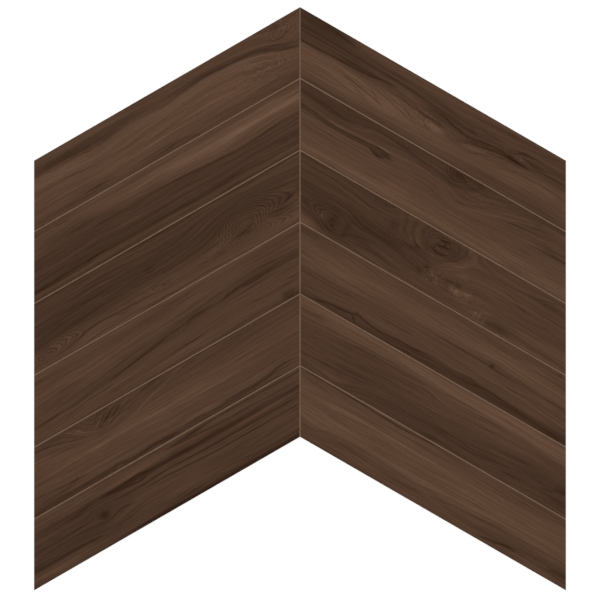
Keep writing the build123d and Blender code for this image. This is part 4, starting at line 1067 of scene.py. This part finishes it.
prints["right_5"] = {
    "seed": 39.4,
    "grain": [
        (4, [(-2, 5), (20, 3), (30, 2.5), (42, 6), (50, 8), (75, 9), (97, 9.2), (120, 10), (140, 9), (160, 10.5),
         (180, 12.5), (200, 12.5), (212, 12)]),
        (9, [(-4, 8.5), (15, 9.3), (30, 10.2), (50, 12), (75, 13.5), (97, 13), (130, 12.5), (160, 14), (190, 16.5),
         (209, 17)]),
        (14, [(-7, 13), (20, 13), (50, 15.3), (80, 16), (110, 16.5), (140, 18.2), (165, 19.5), (185, 20.5),
         (206, 20.5)]),
        (22, [(-12, 22), (30, 22), (60, 21), (100, 20.5), (130, 21), (160, 23.5), (185, 25), (204, 25)]),
        (29, [(-16, 29), (0, 30), (30, 31.3), (60, 31.5), (90, 32.8), (105, 29), (120, 29.5), (140, 32), (165, 31),
         (200, 30.5)]),
        (33, [(-18, 33), (0, 34), (30, 35), (60, 35), (90, 34), (105, 34.3), (130, 35), (150, 34.5), (175, 33.5),
         (200, 32.5)]),
        (38, [(-21, 37), (0, 39.5), (30, 40.5), (60, 40.5), (100, 39.5), (150, 39), (197, 38.5)]),
    ],
    "bands": [(0, 71), (3, 73), (6, 77), (8, 76), (9.5, 72), (12, 75), (14, 73), (17, 76), (20, 76), (22, 76), (25, 76),
        (27, 76), (29, 77), (31, 80), (33, 89), (35, 93), (38, 94), (41, 94), (43.6, 91)],
    "clouds": [(130, 25, 50, 7, 7), (150, 38, 60, 5, 4)],
    "spots": [(-12, 35.4, 12, 1.8, -5), (4, 8.4, 9, 1.2, 6), (172, 9.4, 14, 1.4, -5), (30, 7.5, 9, 1.8, 4),
        (-12, 38, 16, 3, -7), (32, 37.5, 18, 3, -6), (0, 10, 10, 1.6, 5), (195, 14, 22, 3, -5), (30, 9, 12, 3, 4),
        (142, 29, 20, 2, 4), (180, 3.5, 14, 2, 4), (20, 4.5, 10, 3, 6), (208, 15.5, 3, 2.5, -20), (203, 15, 2, 2, -12),
        (209, 7.5, 7, 2.5, -8), (104, 2, 8, 2, -6), (171.5, 6.5, 1.2, 0.8, -6)],
    "streaks": [
        (8.1, 0.5, [(-45, 35), (-20, 35.5), (-10, 36), (0, 37), (6, 37.6)]),
        (8, 0.35, [(-45, 33.8), (-19, 34.2), (-4, 35.1)]),
        (6.7, 0.5, [(88, 33), (97, 33.5), (105, 34.3), (115, 34.6), (134, 35)]),
        (4, 1, [(-5, 30.8), (30, 31), (60, 31.5), (90, 33)]),
        (6, 0.7, [(-30, 7.4), (-3, 8.5), (10, 9.2), (25, 9.8), (35, 10.5), (45, 11.5), (62, 12.7)]),
        (5.2, 0.9, [(24, 0.8), (35, 4), (42, 6), (50, 8), (60, 8.3), (75, 9), (97, 9.2), (124, 10)]),
        (6, 0.5, [(16, 12.3), (35, 13.5), (54, 15.2)]),
        (5, 0.7, [(96, 8.9), (120, 10.2), (140, 9), (150, 9.3), (160, 10.3), (172, 12.3), (185, 13), (204, 11.9)]),
        (5, 0.6, [(108, 6.5), (125, 6.3), (140, 7.5), (155, 9.8), (172, 12.3)]),
        (5.9, 0.8, [(156, 6.3), (170, 7), (184, 8.1)]),
        (5, 0.4, 1.5, [(136, 18.1), (155, 19), (165, 19.5), (184, 20.6)]),
        (8.9, 1, [(188, 9.2), (198, 11), (207, 14)]),
    ],
}
prints["right_6"] = {
    "seed": 43.3,
    "grain": [
        (3, [(0, 3), (100, 3), (140, 1.5), (160, 4), (175, 5.5), (215, 5)]),
        (9, [(-4, 9), (10, 7), (30, 10), (45, 9.3), (60, 8.3), (80, 8), (97, 9.3), (120, 8), (140, 6.5), (160, 9),
         (180, 10), (213, 9.5)]),
        (13, [(-5, 11.5), (5, 10), (15, 12.3), (30, 13.5), (60, 13), (85, 12), (100, 13.8), (120, 13), (140, 13.7),
         (155, 15), (180, 15.5), (210, 15)]),
        (20, [(-10, 20), (30, 19), (60, 18), (97, 17.5), (120, 18.5), (150, 19.5), (180, 21), (206, 21)]),
        (31, [(-17, 31), (30, 31.3), (97, 31.5), (130, 30), (160, 30), (200, 30.5)]),
        (41, [(-23, 42), (40, 41), (60, 40.5), (90, 41.5), (120, 40), (160, 39.5), (195, 40)]),
    ],
    "bands": [(0, 79), (3, 82), (6, 83), (8, 81), (10, 83), (12, 85), (13.5, 87), (15, 92), (18, 93), (21, 92),
        (24, 90), (27, 90), (29, 91), (31, 94), (33, 90), (35, 89), (38, 86), (40, 87), (42, 85), (43.6, 83)],
    "clouds": [(180, 9, 45, 4, -8), (170, 41, 40, 3, -6)],
    "spots": [(174, 6.6, 16, 1.8, -5), (160, 2.5, 13, 1.8, -5), (100, 17, 28, 1.5, 4), (52, 4, 12, 2, 4),
        (160, 5.5, 15, 2.5, -8), (212, 7, 9, 5, -7), (13, 14, 9, 3, -4), (40, 1.6, 30, 1.5, -3), (175, 19, 14, 2, -4),
        (120, 11.5, 24, 2, 5), (50, 8, 18, 2, 3), (125, 22, 24, 2, 3), (205, 18, 12, 3, -3), (20, 37.5, 28, 4, 3),
        (168, 5.8, 5, 1.2, -6), (10, 16, 10, 2.5, 3), (-9, 41, 3, 1.5, -4), (-18, 42.5, 3, 1, -5),
        (195, 2.5, 20, 2, 3)],
    "burls": [(15, 15, 14, 4, 0.3), (50, 17, 10, 3, 0.25)],
    "streaks": [
        (12.6, 0.6, [(-50, 43.5), (-24, 43.3), (-10, 43), (20, 42.8), (40, 42), (60, 41.7), (75, 42.2), (94, 43.6)]),
        (6, 0.5, 0.8, [(-7, 9), (3, 9.2), (10, 11), (18, 13), (30, 13.5), (54, 13)]),
        (5, 0.8, [(16, 9.9), (35, 10), (45, 9), (60, 8.2), (80, 8), (100, 9.4)]),
        (6, 0.4, [(81, 11.8), (97, 13.5), (110, 15), (125, 15.5), (150, 17), (168, 18.1)]),
        (5, 0.4, 1, [(93, 9.8), (110, 11), (120, 12.5), (135, 13.2), (150, 15), (168, 15.7)]),
        (11.1, 0.9, 0.7, [(139, 1.5), (150, 3), (158, 4.2), (163, 5.5), (168, 6.2), (177, 7.5)]),
        (8.9, 1.5, [(192, 5.8), (205, 7), (225, 10)]),
        (-4, 0.5, [(-2, 31.3), (50, 31.5), (102, 31.5)]),
    ],
}

grainGuide = {
    "along": (-55.0, 240.0, 1.0),  # lowest, highest, step
    "across": (-8.0, 52.0, 0.5),
    "leastGap": 0.35,  # two lines of the grain never come nearer than this
    "lineBlur": 3.5,
    "fieldBlur": (2.0, 1.0),
    "eyeFall": 2.5,  # how soon the grain closes again past an eye, in the eye's own reach
    "eyeWobble": 0.07,
}
figureGuide = {
    "ringStep": 1.6,  # from ring to ring inside the innermost outline and outside the outermost
    "edgeFade": 2.4,
    "knotShares": (1.0, 0.66, 0.33),  # a knot's outlines, as shares of its reach
    "knotCorners": 14,
}
streakGuide = {
    "along": (-55.0, 290.0),  # lowest place and span of the curves
    "across": (-5.0, 55.0),
    "fade": 14.0,  # length over which a streak's end fades out
    "fadeShare": 0.4,  # and its most as a share of the streak's length
    "seedStep": 1.37,
    "spread": 0.65,  # narrow streaks are printed this much deeper
}
unreached = 1e9  # stands for a distance or a count that hasn't been met yet
alongTicks = np.arange(*grainGuide["along"])
acrossTicks = np.arange(*grainGuide["across"])


def softened(values, reach, axis):
    half = int(math.ceil(reach * 3))
    weights = np.exp(-0.5 * (np.arange(-half, half + 1) / reach) ** 2)
    weights /= weights.sum()
    pads = [(0, 0)] * values.ndim
    pads[axis] = (half, half)
    padded = np.pad(values, pads, mode="edge")
    return np.apply_along_axis(lambda row: np.convolve(row, weights, mode="valid"), axis, padded)


def grainField(lines):
    levels = np.array([level for level, points in lines], float)
    heights = np.array([np.interp(alongTicks, *zip(*points)) for level, points in lines])
    alongStep, acrossStep = grainGuide["along"][2], grainGuide["across"][2]
    heights = softened(heights, grainGuide["lineBlur"] / alongStep, 1)
    for row in range(1, len(heights)):
        heights[row] = np.maximum(heights[row], heights[row - 1] + grainGuide["leastGap"])
    field = np.empty((len(acrossTicks), len(alongTicks)))
    for column in range(len(alongTicks)):
        stack = heights[:, column]
        values = np.interp(acrossTicks, stack, levels)
        values = np.where(acrossTicks < stack[0], levels[0] + acrossTicks - stack[0], values)
        field[:, column] = np.where(acrossTicks > stack[-1], levels[-1] + acrossTicks - stack[-1], values)
    alongBlur, acrossBlur = grainGuide["fieldBlur"]
    return softened(softened(field, alongBlur / alongStep, 1), acrossBlur / acrossStep, 0)


def sampleField(field, along, across):
    x = np.clip((along - alongTicks[0]) / grainGuide["along"][2], 0, len(alongTicks) - 1.001)
    y = np.clip((across - acrossTicks[0]) / grainGuide["across"][2], 0, len(acrossTicks) - 1.001)
    column, row = x.astype(int), y.astype(int)
    partX, partY = x - column, y - row
    low = field[row, column] * (1 - partX) + field[row, column + 1] * partX
    high = field[row + 1, column] * (1 - partX) + field[row + 1, column + 1] * partX
    return low * (1 - partY) + high * partY


def wobble(along, across, seed, reach):
    first = np.sin(0.31 * along + 0.17 * across + seed) + 0.6 * np.sin(0.13 * along - 0.42 * across + 2 * seed)
    second = np.sin(0.22 * along - 0.35 * across + 3 * seed) + 0.6 * np.sin(0.47 * along + 0.21 * across + seed)
    return along + reach * 1.4 * first, across + reach * 0.6 * second


def smoothClosed(points):  # a curve through the corners of a closed outline, four points to a side
    ring = np.array(points, float)
    before, after, beyond = np.roll(ring, 1, 0), np.roll(ring, -1, 0), np.roll(ring, -2, 0)
    curve = []
    for t in (0.0, 0.25, 0.5, 0.75):
        squared = (2 * before - 5 * ring + 4 * after - beyond) * t ** 2
        cubed = (3 * ring - before - 3 * after + beyond) * t ** 3
        curve.append(0.5 * (2 * ring + (after - before) * t + squared + cubed))
    return np.stack(curve, 1).reshape(-1, 2)


def outlineGap(points, along, across):
    curve = smoothClosed(points)
    gap, inside = np.full(len(along), unreached), np.zeros(len(along), bool)
    for (u0, v0), (u1, v1) in zip(curve, np.roll(curve, -1, 0)):
        du, dv = u1 - u0, v1 - v0
        share = np.clip(((along - u0) * du + (across - v0) * dv) / max(du * du + dv * dv, 1e-9), 0, 1)
        gap = np.minimum(gap, np.hypot(along - u0 - share * du, across - v0 - share * dv))
        crossed = (v0 > across) != (v1 > across)
        inside ^= crossed & (along < u0 + (across - v0) * du / (dv or 1e-9))
    return gap, inside


def nestedCount(outlines, along, across):
    gaps = [(count, *outlineGap(points, along, across)) for count, points in outlines]
    held, heldGap = np.full(len(along), -unreached), np.zeros(len(along))
    for count, gap, inside in gaps:
        closer = inside & (count > held)
        held, heldGap = np.where(closer, count, held), np.where(closer, gap, heldGap)
    nextCount, nextGap = held + 1, np.full(len(along), unreached)
    for count, gap, inside in gaps:
        closer = ~inside & (count > held) & (gap < nextGap)
        nextCount, nextGap = np.where(closer, count, nextCount), np.where(closer, gap, nextGap)
    between = held + (nextCount - held) * heldGap / (heldGap + nextGap + 1e-6)
    value = np.where(nextGap == unreached, held + heldGap / figureGuide["ringStep"], between)
    first, firstGap, within = gaps[0]
    value = np.where(within, value, first - firstGap / figureGuide["ringStep"])
    share = np.clip(0.5 + np.where(within, firstGap, -firstGap) / figureGuide["edgeFade"], 0, 1)
    return value, share


def ovalOutlines(u, v, reachU, reachV, rings, seed):
    turns = np.arange(figureGuide["knotCorners"]) * 2 * math.pi / figureGuide["knotCorners"]
    outlines = []
    for step, part in enumerate(figureGuide["knotShares"]):
        uneven = 1 + 0.13 * np.sin(2 * turns + seed + step)
        uneven = uneven + 0.09 * np.sin(3 * turns + 2.3 * seed + 0.7 * step) + 0.05 * np.sin(5 * turns + seed)
        outs, ups = u + reachU * part * uneven * np.cos(turns), v + reachV * part * uneven * np.sin(turns)
        outlines.append((rings * (1 - part), list(zip(outs, ups))))
    return outlines


def squaredReach(first, second, u, v, reachU, reachV):
    return ((first - u) / reachU) ** 2 + ((second - v) / reachV) ** 2


def softMark(first, second, u, v, reachU, reachV):
    return np.exp(-((first - u) / reachU) ** 2 - ((second - v) / reachV) ** 2)


def printValues(face, along, across):
    flow = sampleField(grainField(face["grain"]), along, across)
    for *place, rise, power in face.get("swells", []):
        flow = flow + rise * np.exp(-np.sqrt(squaredReach(along, across, *place)) ** power)
    for *place, ring in face.get("eyes", []):
        bent = wobble(along, across, face["seed"], grainGuide["eyeWobble"] * place[3])
        far = np.sqrt(squaredReach(*bent, *place))
        centre = flow[np.argmin(far)]
        beyond = np.maximum(far, 1.0)
        opened = 1 - np.exp(-((beyond - 1) / grainGuide["eyeFall"])) / beyond ** 2
        flow = np.where(far < 1, centre + ring * (1 - far), centre + (flow - centre) * opened)
    shade, figure, count, share = (np.zeros_like(flow) for value in range(4))
    for *place, tone in face.get("clouds", []):
        shade += tone * softMark(along, flow, *place)
    for *place, tone in face.get("spots", []):
        shade += tone * softMark(along, across, *place)
    for *place, strength in face.get("burls", []):
        figure = np.maximum(figure, strength * softMark(along, across, *place))
    drawn = list(face.get("figures", []))
    drawn += [(strength, ovalOutlines(*knot, face["seed"])) for *knot, strength in face.get("knots", [])]
    for strength, outlines in drawn:
        value, inside = nestedCount(outlines, along, across)
        stronger = inside * strength > share
        count, share = np.where(stronger, value, count), np.where(stronger, inside * strength, share)
    return {
        "grainFlow": flow,
        "grainAlong": along,
        "grainAcross": across,
        "shade": shade,
        "figure": figure,
        "ringCount": count,
        "ringShare": share,
    }


# strips

strip = {
    "columns": 200,
    "rows": 64,
    "channelCentres": (-15.0, -5.0, 5.0, 15.0),  # from the strip's middle line
    "channelHalf": 3.0,
    "channelDepth": 0.5,
    "channelDraft": 0.3,
    "roughness": 0.56,  # at the middle tone
    "roughnessStep": 0.0016,  # added for each step of tone
    "specular": 0.08,
    "relief": 0.00006,  # in metres
    "reliefShare": 0.05,
    "broadGrain": 2.0,
    "mediumGrain": 2.2,
    "fineGrain": 8.0,
    "thinGrain": 7.0,
    "grainInKnots": 0.3,
    "rings": (2.2, 2.6),  # spacing, tone
    "knotTone": 21.0,
    "poreTone": 4.0,
    "speckle": 2.5,
    "burlTone": 10.0,
}


def backProfile():
    middle, draft = sheet["stripWidth"] / 2, strip["channelDraft"]
    points = [(0.0, 0.0)]
    for centre in strip["channelCentres"]:
        low = middle + centre - strip["channelHalf"]
        high = middle + centre + strip["channelHalf"]
        points += [(low, 0.0), (low + draft, strip["channelDepth"]), (high - draft, strip["channelDepth"]), (high, 0.0)]
    return points + [(sheet["stripWidth"], 0.0)]


def addMesh(name, points, faces, smooth, *materials):
    mesh = bpy.data.meshes.new(name)
    mesh.from_pydata(points, [], faces)
    mesh.polygons.foreach_set("use_smooth", smooth)
    for material in materials:
        mesh.materials.append(material)
    return mesh


def buildStrip(hand, row, faceMaterial, bodyMaterial):
    name = "strip_%s_%d" % (hand, row)
    side = 1.0 if hand == "right" else -1.0
    wide, tall = stripRun, sheet["stripWidth"]
    lowY = pointY - (row - 1) * rowPitch - stripRise - halfJoint * slope
    columns, rows = strip["columns"], strip["rows"]
    edge = sheet["edgeRound"]
    bevel = edge * (1 - math.cos(math.radians(45)))
    outs, acrosses, heights = [], [], []
    faces, smooth, kinds = [], [], []

    def add(out, across, height):
        out, across = np.broadcast_arrays(np.asarray(out, float), np.asarray(across, float))
        start = sum(len(part) for part in outs)
        outs.append(out.ravel())
        acrosses.append(across.ravel())
        heights.append(np.broadcast_to(np.asarray(height, float), out.shape).ravel())
        return start + np.arange(out.size).reshape(out.shape)

    def ring(inset, height):
        left, right, low, high = inset, wide - inset, inset, tall - inset
        outRun = np.linspace(left, right, columns + 1)
        upRun = np.linspace(low, high, rows + 1)
        out = np.concatenate([outRun[:-1], np.full(rows, right), outRun[:0:-1], np.full(rows, left)])
        up = np.concatenate([np.full(columns, low), upRun[:-1], np.full(columns, high), upRun[:0:-1]])
        return add(out, up, height)

    def quads(a, b, c, d, kind, isSmooth):
        block = np.stack([a.ravel(), b.ravel(), c.ravel(), d.ravel()], 1)
        faces.extend(block.tolist())
        smooth.extend([isSmooth] * len(block))
        kinds.extend([kind] * len(block))

    outRun, upRun = np.linspace(edge, wide - edge, columns + 1), np.linspace(edge, tall - edge, rows + 1)
    grid = add(*np.meshgrid(outRun, upRun), topZ)
    quads(grid[:-1, :-1], grid[:-1, 1:], grid[1:, 1:], grid[1:, :-1], 0, True)
    rim = np.concatenate([grid[0, :-1], grid[:-1, -1], grid[-1, :0:-1], grid[:0:-1, 0]])
    for inset, down in ((bevel, bevel), (0.0, edge)):
        outer = ring(inset, topZ - down)
        quads(outer, np.roll(outer, -1), np.roll(rim, -1), rim, 0, True)
        rim = outer
    outRun = np.linspace(0.0, wide, columns + 1)
    back = np.array([add(outRun, up, sheet["meshThickness"] + rise) for up, rise in backProfile()])
    quads(back[1:, :-1], back[1:, 1:], back[:-1, 1:], back[:-1, :-1], 1, False)
    front, right = rim[: columns + 1], rim[columns : columns + rows + 1]
    far = rim[columns + rows : 2 * columns + rows + 1]
    left = np.append(rim[2 * columns + rows :], rim[0])
    quads(back[0, :-1], back[0, 1:], front[1:], front[:-1], 1, False)
    quads(back[-1, ::-1][:-1], back[-1, ::-1][1:], far[1:], far[:-1], 1, False)
    for end, edgeRun in ((back[:, -1], right), (back[::-1, 0], left)):
        faces.append(end.tolist() + edgeRun[::-1].tolist())
        smooth.append(False)
        kinds.append(1)

    out, across, height = (np.concatenate(part) for part in (outs, acrosses, heights))
    along = (out - across * sinFall) / cosFall
    x = side * (halfJoint + out)
    y = lowY - along * sinFall + across * cosFall
    if side < 0:
        faces = [face[::-1] for face in faces]
    mesh = addMesh(name, np.stack([x, y, height], 1) * toMetres, faces, smooth, faceMaterial, bodyMaterial)
    mesh.polygons.foreach_set("material_index", kinds)
    for label, values in printValues(prints["%s_%d" % (hand, row)], along, across).items():
        mesh.attributes.new(label, "FLOAT", "POINT").data.foreach_set("value", values.astype(np.float32))
    mesh.update()
    piece = addObject("porcelain_" + name, mesh)
    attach(piece, "root")
    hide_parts(name)


def newMaterial(name):
    material = bpy.data.materials.new(name)
    tree = newTree(material)
    out = makeNode(tree, "ShaderNodeOutputMaterial")
    shader = makeNode(tree, "ShaderNodeBsdfPrincipled")
    tree.links.new(shader.outputs[0], out.inputs["Surface"])
    return material, tree, shader


def pathCurve(tree, along, points):
    (alongLow, alongSpan), (acrossLow, acrossSpan) = streakGuide["along"], streakGuide["across"]
    node = makeNode(tree, "ShaderNodeFloatCurve")
    curve = node.mapping.curves[0]
    while len(curve.points) < len(points):
        curve.points.new(0.5, 0.5)
    for point, (u, v) in zip(curve.points, points):
        point.location = ((u - alongLow) / alongSpan, (v - acrossLow) / acrossSpan)
    node.mapping.update()
    share = ranged(tree, along, alongLow, alongLow + alongSpan, 0.0, 1.0)
    tree.links.new(share, node.inputs["Value"])
    return timesPlus(tree, node.outputs[0], acrossSpan, acrossLow)


def readValue(tree, name):
    return makeNode(tree, "ShaderNodeAttribute", attribute_name=name).outputs["Fac"]


def streakTone(tree, group, place, streak, seed):
    depth, *widths, points = streak
    above, below = widths[0], widths[-1]
    start, end = float(points[0][0]), float(points[-1][0])
    node = placeGroup(
        tree, group, **place, Path=pathCurve(tree, place["Along"], points), Start=start, End=end,
        Above=above, Below=below, Depth=depth * (1 + streakGuide["spread"] / (above + below)),
        Fade=min(streakGuide["fade"], streakGuide["fadeShare"] * (end - start)), Seed=seed,
    )
    return node["Tone"]


def faceMaterial(name, face, groups):
    material, tree, shader = newMaterial(name)
    seed = face["seed"]
    flow, along, across = (readValue(tree, label) for label in ("grainFlow", "grainAlong", "grainAcross"))
    shade, figure, knotShare = (readValue(tree, label) for label in ("shade", "figure", "ringShare"))
    wander = placeGroup(tree, groups["wander"], Flow=flow, Along=along, Across=across, Figure=figure, Seed=seed)
    flow, across = wander["Flow"], wander["Across"]

    def toneOf(label, **values):
        return placeGroup(tree, groups[label], Along=along, Seed=seed, **values)["Tone"]

    width = sheet["stripWidth"]
    bands = [(level / width, (toneShare(tone),) * 3 + (1.0,)) for level, tone in face["bands"]]
    banded = colourRamp(tree, calc(tree, "DIVIDE", flow, width, clamp=True), bands)
    tone = plus(tree, timesPlus(tree, banded, palest - darkest, darkest), shade)
    spacing, amount = face.get("rings", strip["rings"])
    lines = toneOf(
        "lines", Flow=flow, Broad=strip["broadGrain"], Medium=strip["mediumGrain"],
        Fine=strip["fineGrain"], Thin=strip["thinGrain"],
    )
    rings = toneOf("rings", Flow=flow, Spacing=spacing, Amount=amount)
    pores = toneOf("pores", Flow=flow, Across=across, Amount=strip["poreTone"], Speckle=strip["speckle"])
    burl = toneOf("burl", Across=across, Figure=figure, Amount=strip["burlTone"])
    knots = toneOf(
        "knot", Across=across, Count=readValue(tree, "ringCount"), Share=knotShare, Amount=strip["knotTone"]
    )
    apart = minus(tree, 1.0, calc(tree, "MINIMUM", knotShare, 1.0))
    rings = times(tree, rings, apart)
    lines = times(tree, lines, timesPlus(tree, apart, 1 - strip["grainInKnots"], strip["grainInKnots"]))
    for part in (lines, rings, knots, pores, burl):
        tone = plus(tree, tone, part)
    place = {"Along": along, "Across": across}
    for number, streak in enumerate(face["streaks"]):
        streakSeed = seed + number * streakGuide["seedStep"]
        tone = plus(tree, tone, streakTone(tree, groups["streak"], place, streak, streakSeed))
    colour = placeGroup(tree, groups["colour"], **place, Tone=tone, Seed=seed)["Color"]
    tree.links.new(colour, shader.inputs["Base Color"])
    paler = minus(tree, tone, middleTone)
    rough = timesPlus(tree, paler, strip["roughnessStep"], strip["roughness"], clamp=True)
    tree.links.new(rough, shader.inputs["Roughness"])
    shader.inputs["Specular IOR Level"].default_value = strip["specular"]
    addBump(tree, shader, times(tree, plus(tree, lines, pores), strip["reliefShare"]), strip["relief"])
    return material


def makeFiredGrain():  # a fired or sanded grain without direction, as a mask for colours and a height
    group, given, out = newGroup("firedGrain", ("Mask", "Height"), Seed=0.0, Size=0.8, Amount=0.5)
    place = makeNode(group, "ShaderNodeTexCoord").outputs["Object"]
    split = makeNode(group, "ShaderNodeSeparateXYZ")
    group.links.new(place, split.inputs[0])
    scale = calc(group, "DIVIDE", 1 / toMetres, given["Size"])
    axes = [timesPlus(group, split.outputs[axis], scale, given["Seed"]) for axis in range(3)]
    fine = noise(group, *axes, 3.0, 0.6)
    wide = noise(group, *(times(group, axis, 0.06) for axis in axes), 2.0)
    speck = noise(group, *(times(group, axis, 0.55) for axis in axes), 1.0)
    speck = ranged(group, speck, 0.6, 0.72, 0.0, 1.0)
    mask = timesPlus(group, minus(group, fine, 0.5), given["Amount"], 0.5)
    mask = timesPlus(group, minus(group, wide, 0.5), given["Amount"], mask)
    mask = timesPlus(group, speck, times(group, given["Amount"], -0.5), mask, clamp=True)
    group.links.new(mask, out["Mask"])
    group.links.new(fine, out["Height"])
    return group


def grainyMaterial(name, group, values):
    material, tree, shader = newMaterial(name)
    grain = placeGroup(tree, group, Seed=values["seed"], Size=values["size"], Amount=values["amount"])
    colour = colourMix(tree, grain["Mask"], srgb(*values["dark"]), srgb(*values["pale"]))
    tree.links.new(colour, shader.inputs["Base Color"])
    rough, unevenness = values["rough"], 0.06
    rough = ranged(tree, grain["Height"], 0.0, 1.0, rough - unevenness, rough + unevenness)
    tree.links.new(rough, shader.inputs["Roughness"])
    shader.inputs["Specular IOR Level"].default_value = values["specular"]
    addBump(tree, shader, grain["Height"], values["bump"])
    return material


# joints, backing and floor; bumps in metres

# the filler's own sandy colour, painted paler than it is to make up for the shade that falls in the recessed joint:
# painted light
filler = {
    "seed": 3.0,
    "size": 0.5,
    "amount": 0.9,
    "dark": (109, 87, 70),
    "pale": (137, 110, 91),
    "rough": 0.86,
    "specular": 0.1,
    "bump": 0.00012,
}
body = {
    "seed": 7.0,
    "size": 0.7,
    "amount": 0.7,
    "dark": (104, 84, 69),
    "pale": (138, 117, 99),
    "rough": 0.72,
    "specular": 0.3,
    "bump": 0.00005,
}
backing = {
    "pitch": 5.0,
    "strandHalfWidth": 0.42,
    "strandHalfHeight": 0.1,
    "strandSides": 6,
    "weave": 0.1,
    "seed": 11.0,
    "size": 0.35,
    "amount": 0.6,
    "dark": (196, 194, 186),
    "pale": (232, 231, 225),
    "rough": 0.5,
    "specular": 0.4,
    "bump": 0.00004,
}
ground = {  # lengths in metres
    "size": 6.0,
    "gap": 0.0001,
    "glow": 0.9,
    "catch": 0.16,
    "bounce": 0.8,
}


def strandSpans(axis, place):
    inset = sheet["meshMargin"]
    edgeX = halfWidth - inset
    high = pointY - inset / cosFall
    low = pointY - spineLength + inset / cosFall
    if axis == "y":
        return [(low - abs(place) * slope, high - abs(place) * slope)]
    outer = min(edgeX, (high - place) / slope)
    inner = (low - place) / slope
    if outer <= 1:
        return []
    if inner <= 0:
        return [(-outer, outer)]
    return [(-outer, -inner), (inner, outer)] if outer - inner > 2 else []


def strandSection():
    sides = backing["strandSides"]
    halfWide, halfHigh = backing["strandHalfWidth"], backing["strandHalfHeight"]
    turns = [math.radians(360 / sides * corner) for corner in range(sides)]
    tallest = math.sin(math.radians(360 / sides))
    return [(math.cos(turn) * halfWide, math.sin(turn) * halfHigh / tallest) for turn in turns]


def strand(axis, number, start, end, base):  # one strand, over and under those it crosses
    pitch, sides, section = backing["pitch"], backing["strandSides"], strandSection()
    middle = sheet["meshThickness"] / 2
    place = number * pitch
    first, last = math.ceil(start / pitch + 0.1), math.floor(end / pitch - 0.1)
    stations = [(start, round(start / pitch))]
    stations += [(crossing * pitch, crossing) for crossing in range(first, last + 1)]
    stations += [(end, round(end / pitch))]
    points, faces = [], []
    for run, crossing in stations:
        over = 1.0 if (crossing + number) % 2 == 0 else -1.0
        lift = middle + backing["weave"] * over * (1.0 if axis == "x" else -1.0)
        for wide, high in section:
            points.append((run, place + wide, lift + high) if axis == "x" else (place - wide, run, lift + high))
    for step in range(len(stations) - 1):
        for k in range(sides):
            a, b = base + step * sides + k, base + step * sides + (k + 1) % sides
            faces.append((a, b, b + sides, a + sides)[::-1])
    faces.append(tuple(base + k for k in range(sides)))
    faces.append(tuple(base + (len(stations) - 1) * sides + k for k in range(sides))[::-1])
    return points, faces


def buildBacking(material):
    points, faces = [], []
    counts = {"x": int(pointY / backing["pitch"]), "y": int((halfWidth - sheet["meshMargin"]) / backing["pitch"])}
    for axis, count in counts.items():
        for number in range(-count, count + 1):
            for start, end in strandSpans(axis, number * backing["pitch"]):
                newPoints, newFaces = strand(axis, number, start, end, len(points))
                points += newPoints
                faces += newFaces
    mesh = addMesh("backing_strands", np.array(points) * toMetres, faces, [True] * len(faces), material)
    mesh.update()
    piece = addObject("backing_strands", mesh)
    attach(piece, "root")
    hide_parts("backing_mesh")


def greyDiffuse(tree, grey):
    node = makeNode(tree, "ShaderNodeBsdfDiffuse")
    node.inputs["Color"].default_value = (grey, grey, grey, 1)
    return node.outputs[0]


def buildFloor():
    material = bpy.data.materials.new("floor_white")
    tree = newTree(material)
    out = makeNode(tree, "ShaderNodeOutputMaterial")
    rays = makeNode(tree, "ShaderNodeLightPath")
    mirrored = calc(tree, "MAXIMUM", rays.outputs["Is Glossy Ray"], rays.outputs["Is Transmission Ray"])
    seen = calc(tree, "MAXIMUM", rays.outputs["Is Camera Ray"], mirrored)
    glow = makeNode(tree, "ShaderNodeEmission")
    glow.inputs["Strength"].default_value = ground["glow"]
    both = makeNode(tree, "ShaderNodeAddShader")
    tree.links.new(glow.outputs[0], both.inputs[0])
    tree.links.new(greyDiffuse(tree, ground["catch"]), both.inputs[1])
    pick = makeNode(tree, "ShaderNodeMixShader")
    tree.links.new(seen, pick.inputs[0])
    tree.links.new(greyDiffuse(tree, ground["bounce"]), pick.inputs[1])
    tree.links.new(both.outputs[0], pick.inputs[2])
    tree.links.new(pick.outputs[0], out.inputs["Surface"])
    half = ground["size"] / 2
    corners = [(x, y, -ground["gap"]) for x, y in ((-half, -half), (half, -half), (half, half), (-half, half))]
    floor = addObject("floor", addMesh("floor", corners, [(0, 1, 2, 3)], [False], material))


bpy.context.scene.view_settings.view_transform = "Standard"
addCamera()
addSky()
addLamp("softLamp", light["lampPower"], light["lampPlace"])
addLamp("fillLamp", light["fillPower"], light["fillPlace"])
print("camera and light made")

printGroups = {
    "wander": makeGrainWander(),
    "lines": makeGrainLines(),
    "rings": makeGrowthRings(),
    "pores": makePoreFlecks(),
    "burl": makeBurlFigure(),
    "knot": makeKnotRings(),
    "streak": makePrintedStreak(),
    "colour": makePrintColour(),
}
firedGrain = makeFiredGrain()
bodyMaterial = grainyMaterial("porcelain_body", firedGrain, body)
for hand in ("left", "right"):
    for row in range(1, sheet["rows"] + 1):
        label = "%s_%d" % (hand, row)
        buildStrip(hand, row, faceMaterial("printed_face_" + label, prints[label], printGroups), bodyMaterial)
    print("strips made:", hand)

# joint filler: sandy colour with painted light, paler than its own to cancel the shade in the joint's recess
fillerMaterial = grainyMaterial("joint_filler_sandy_painted_paler", firedGrain, filler)
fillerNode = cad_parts["joint_filler"]
fillerNode.data.materials.clear()
fillerNode.data.materials.append(fillerMaterial)
buildBacking(grainyMaterial("backing_glass_fibre", firedGrain, backing))
print("joint filler and backing made")

buildFloor()
print("floor made")
